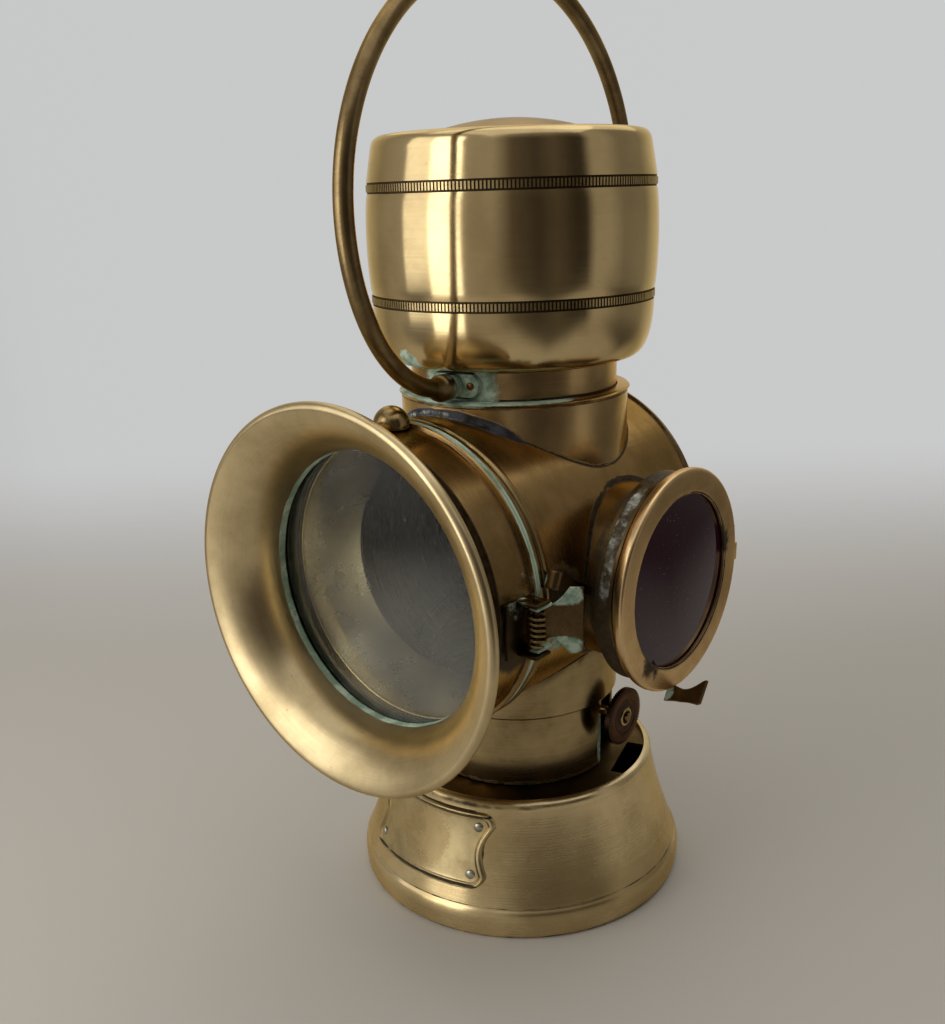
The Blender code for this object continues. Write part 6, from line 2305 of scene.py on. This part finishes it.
@dataclass(frozen=True)
class PaleFloor(Finish):
    """A pale floor that is shaded far out and lost in the room behind."""

    colour: Colour = (0.50, 0.475, 0.432)
    shade_colour: Colour = (0.09, 0.083, 0.072)
    shades: tuple[Triple, ...] = ((65.0, 1.2, 0.16), (-42.0, 1.4, 0.24), (140.0, 1.2, 0.155))
    shade_fade: float = 0.26
    reach_fade: Point = (1.2, 0.4)
    behind: Point = (0.763, 0.646)
    behind_fade: Point = (0.62, 0.12)

    def shader(self, graph: Graph, where: Signal) -> Signal:
        """The floor's colour, darker along each shade's azimuth, and its fading edge.

        Args:
            graph: The tree.
            where: Place on the surface.

        Returns:
            The shader.
        """
        x, y, _ = graph.split(where)
        shade: Value = 0.0
        for azimuth, narrow, start in self.shades:
            out, aside = math.sin(math.radians(azimuth)), -math.cos(math.radians(azimuth))
            ahead, across = x * out + y * aside, x * aside - y * out
            shade = (ahead - abs(across) * narrow).step(start, start + self.shade_fade) + shade
        colour = graph.mix(shade.least(1.0), self.colour, self.shade_colour)
        back = y * self.behind[0] - x * self.behind[1]
        near = (x * x + y * y).root().step(*self.reach_fade) * back.step(*self.behind_fade)
        return graph.node(
            "ShaderNodeBsdfPrincipled", None, {"Base Color": colour, "Roughness": 0.8, "Alpha": near}
        )


@dataclass(frozen=True)
class Studio:
    """Floor, lights, surroundings and camera."""

    eye: Place = (193.60, -250.25, 206.62)
    ahead: Place = (-0.60595, 0.71592, -0.34681)
    above: Place = (-0.20076, 0.28423, 0.93750)
    focal: float = 1085.9
    picture: tuple[int, int] = (945, 1024)
    middle: Point = (472.5, 594.7)
    aim: Place = (0, 0, 130)
    panels: tuple[Panel, ...] = (
        Panel("window_left", -38.2, 22.0, 0.540, 0.212, 0.46, 0.34, (1.0, 0.985, 0.95)),
        Panel("window_right", -13.0, 18.0, 0.526, 0.235, 0.54, 1.05, (1.0, 0.985, 0.95)),
        Panel("wall_bounce", 205, 62, 1.5, 2.2, 1.8, 6.0, (1.0, 0.97, 0.93)),
        Panel("sky_fill", 60, 80, 1.4, 2.0, 2.0, 6.0, (1.0, 0.98, 0.95)),
    )
    floor_reach: float = 1.5
    floor_drop: float = 0.0002
    room: tuple[tuple[float, Colour], ...] = (
        (0.0, (0.66, 0.662, 0.664)), (0.04, (0.84, 0.845, 0.85)), (0.17, (0.82, 0.825, 0.83)),
        (0.26, (0.40, 0.375, 0.34)), (0.36, (0.52, 0.495, 0.46)), (0.50, (0.50, 0.465, 0.415)),
        (0.565, (0.46, 0.43, 0.38)), (0.605, (0.12, 0.10, 0.08)), (0.66, (0.06, 0.05, 0.04)),
        (0.70, (0.12, 0.10, 0.08)), (0.745, (0.04, 0.032, 0.025)), (0.768, (0.04, 0.032, 0.025)),
        (0.79, (0.44, 0.41, 0.36)), (0.83, (0.44, 0.41, 0.36)), (0.87, (0.27, 0.25, 0.22)),
        (0.95, (0.32, 0.31, 0.30)), (1.0, (0.66, 0.662, 0.664)),
    )
    roof_colour: Colour = (0.42, 0.40, 0.36)
    room_strength: float = 0.7

    def build(self) -> None:
        """Make the whole studio."""
        self._floor()
        for panel in self.panels:
            self._light(panel)
        self._world()
        self._camera()
        view = bpy.context.scene.view_settings
        view.view_transform = "Standard"
        view.look = "None"
        view.exposure = 0.0

    def _floor(self) -> None:
        """A wide floor just under the foot."""
        build = bmesh.new()
        bmesh.ops.create_circle(build, cap_ends=True, segments=96, radius=self.floor_reach)
        mesh = written(build)
        mesh.transform(Matrix.Translation((0, 0, -self.floor_drop)))
        mesh.materials.append(PaleFloor().material("pale_floor"))
        linked("floor", mesh)

    def _light(self, panel: Panel) -> None:
        """One area light.

        Args:
            panel: What it is like and where it stands.
        """
        data = bpy.data.lights.new(panel.name, "AREA")
        data.shape = "RECTANGLE"
        data.size, data.size_y = panel.width, panel.height
        data.energy = panel.power
        data.color = panel.colour
        obj = linked(panel.name, data)
        azimuth, elevation = math.radians(panel.azimuth), math.radians(panel.elevation)
        level = math.cos(elevation)
        way = Vector((math.sin(azimuth) * level, -math.cos(azimuth) * level, math.sin(elevation)))
        obj.location = Vector(self.aim) * MM + way * panel.distance
        facing = way if panel.elevation > 45 else Vector((way.x, way.y, 0))
        obj.rotation_euler = facing.to_track_quat("Z", "Y").to_euler()

    def _world(self) -> None:
        """A soft room: dim on the camera's side, pale behind, with a light ceiling."""
        world = bpy.data.worlds.new("room")
        world.use_nodes = True
        bpy.context.scene.world = world
        graph = Graph(world.node_tree)
        where = graph.node("ShaderNodeTexCoord", None, None, "Generated")
        x, y, z = graph.split(where)
        turn = graph.node("ShaderNodeMath", {"operation": "ARCTAN2"}, {0: x, 1: 0.0 - y})
        share = turn / (2 * math.pi) + 0.5
        around = graph.node("ShaderNodeValToRGB", {"stops": self.room}, {0: share})
        roof = z.step(0.45, 0.95)
        colour = graph.mix(roof, around, self.roof_colour)
        light = graph.node("ShaderNodeBackground", None, {"Color": colour, "Strength": self.room_strength})
        graph.node("ShaderNodeOutputWorld", None, {0: light})

    def _camera(self) -> None:
        """The camera at the lamp's three-quarter view."""
        data = bpy.data.cameras.new("camera")
        data.sensor_fit = "VERTICAL"
        data.sensor_height = 36.0
        data.sensor_width = 36.0
        data.lens = self.focal / self.picture[1] * 36.0
        data.shift_y = (self.middle[1] - self.picture[1] / 2) / self.picture[1]
        data.clip_start = 0.01
        obj = linked("camera", data)
        back = -Vector(self.ahead)
        up = Vector(self.above)
        right = up.cross(back)
        turn = Matrix((right, up, back)).transposed().to_4x4()
        obj.matrix_world = Matrix.Translation(Vector(self.eye) * MM) @ turn
        bpy.context.scene.camera = obj


def main() -> None:
    """Dress the frame and build the studio round it."""
    logging.basicConfig(level=logging.INFO, format="%(levelname)s %(message)s")
    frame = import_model()
    for part in (Foot, Burner, LampBody, Ventilator, RubyLight, FrontDoor):
        part(frame).dress()
    Studio().build()


if __name__ == "__main__":
    main()
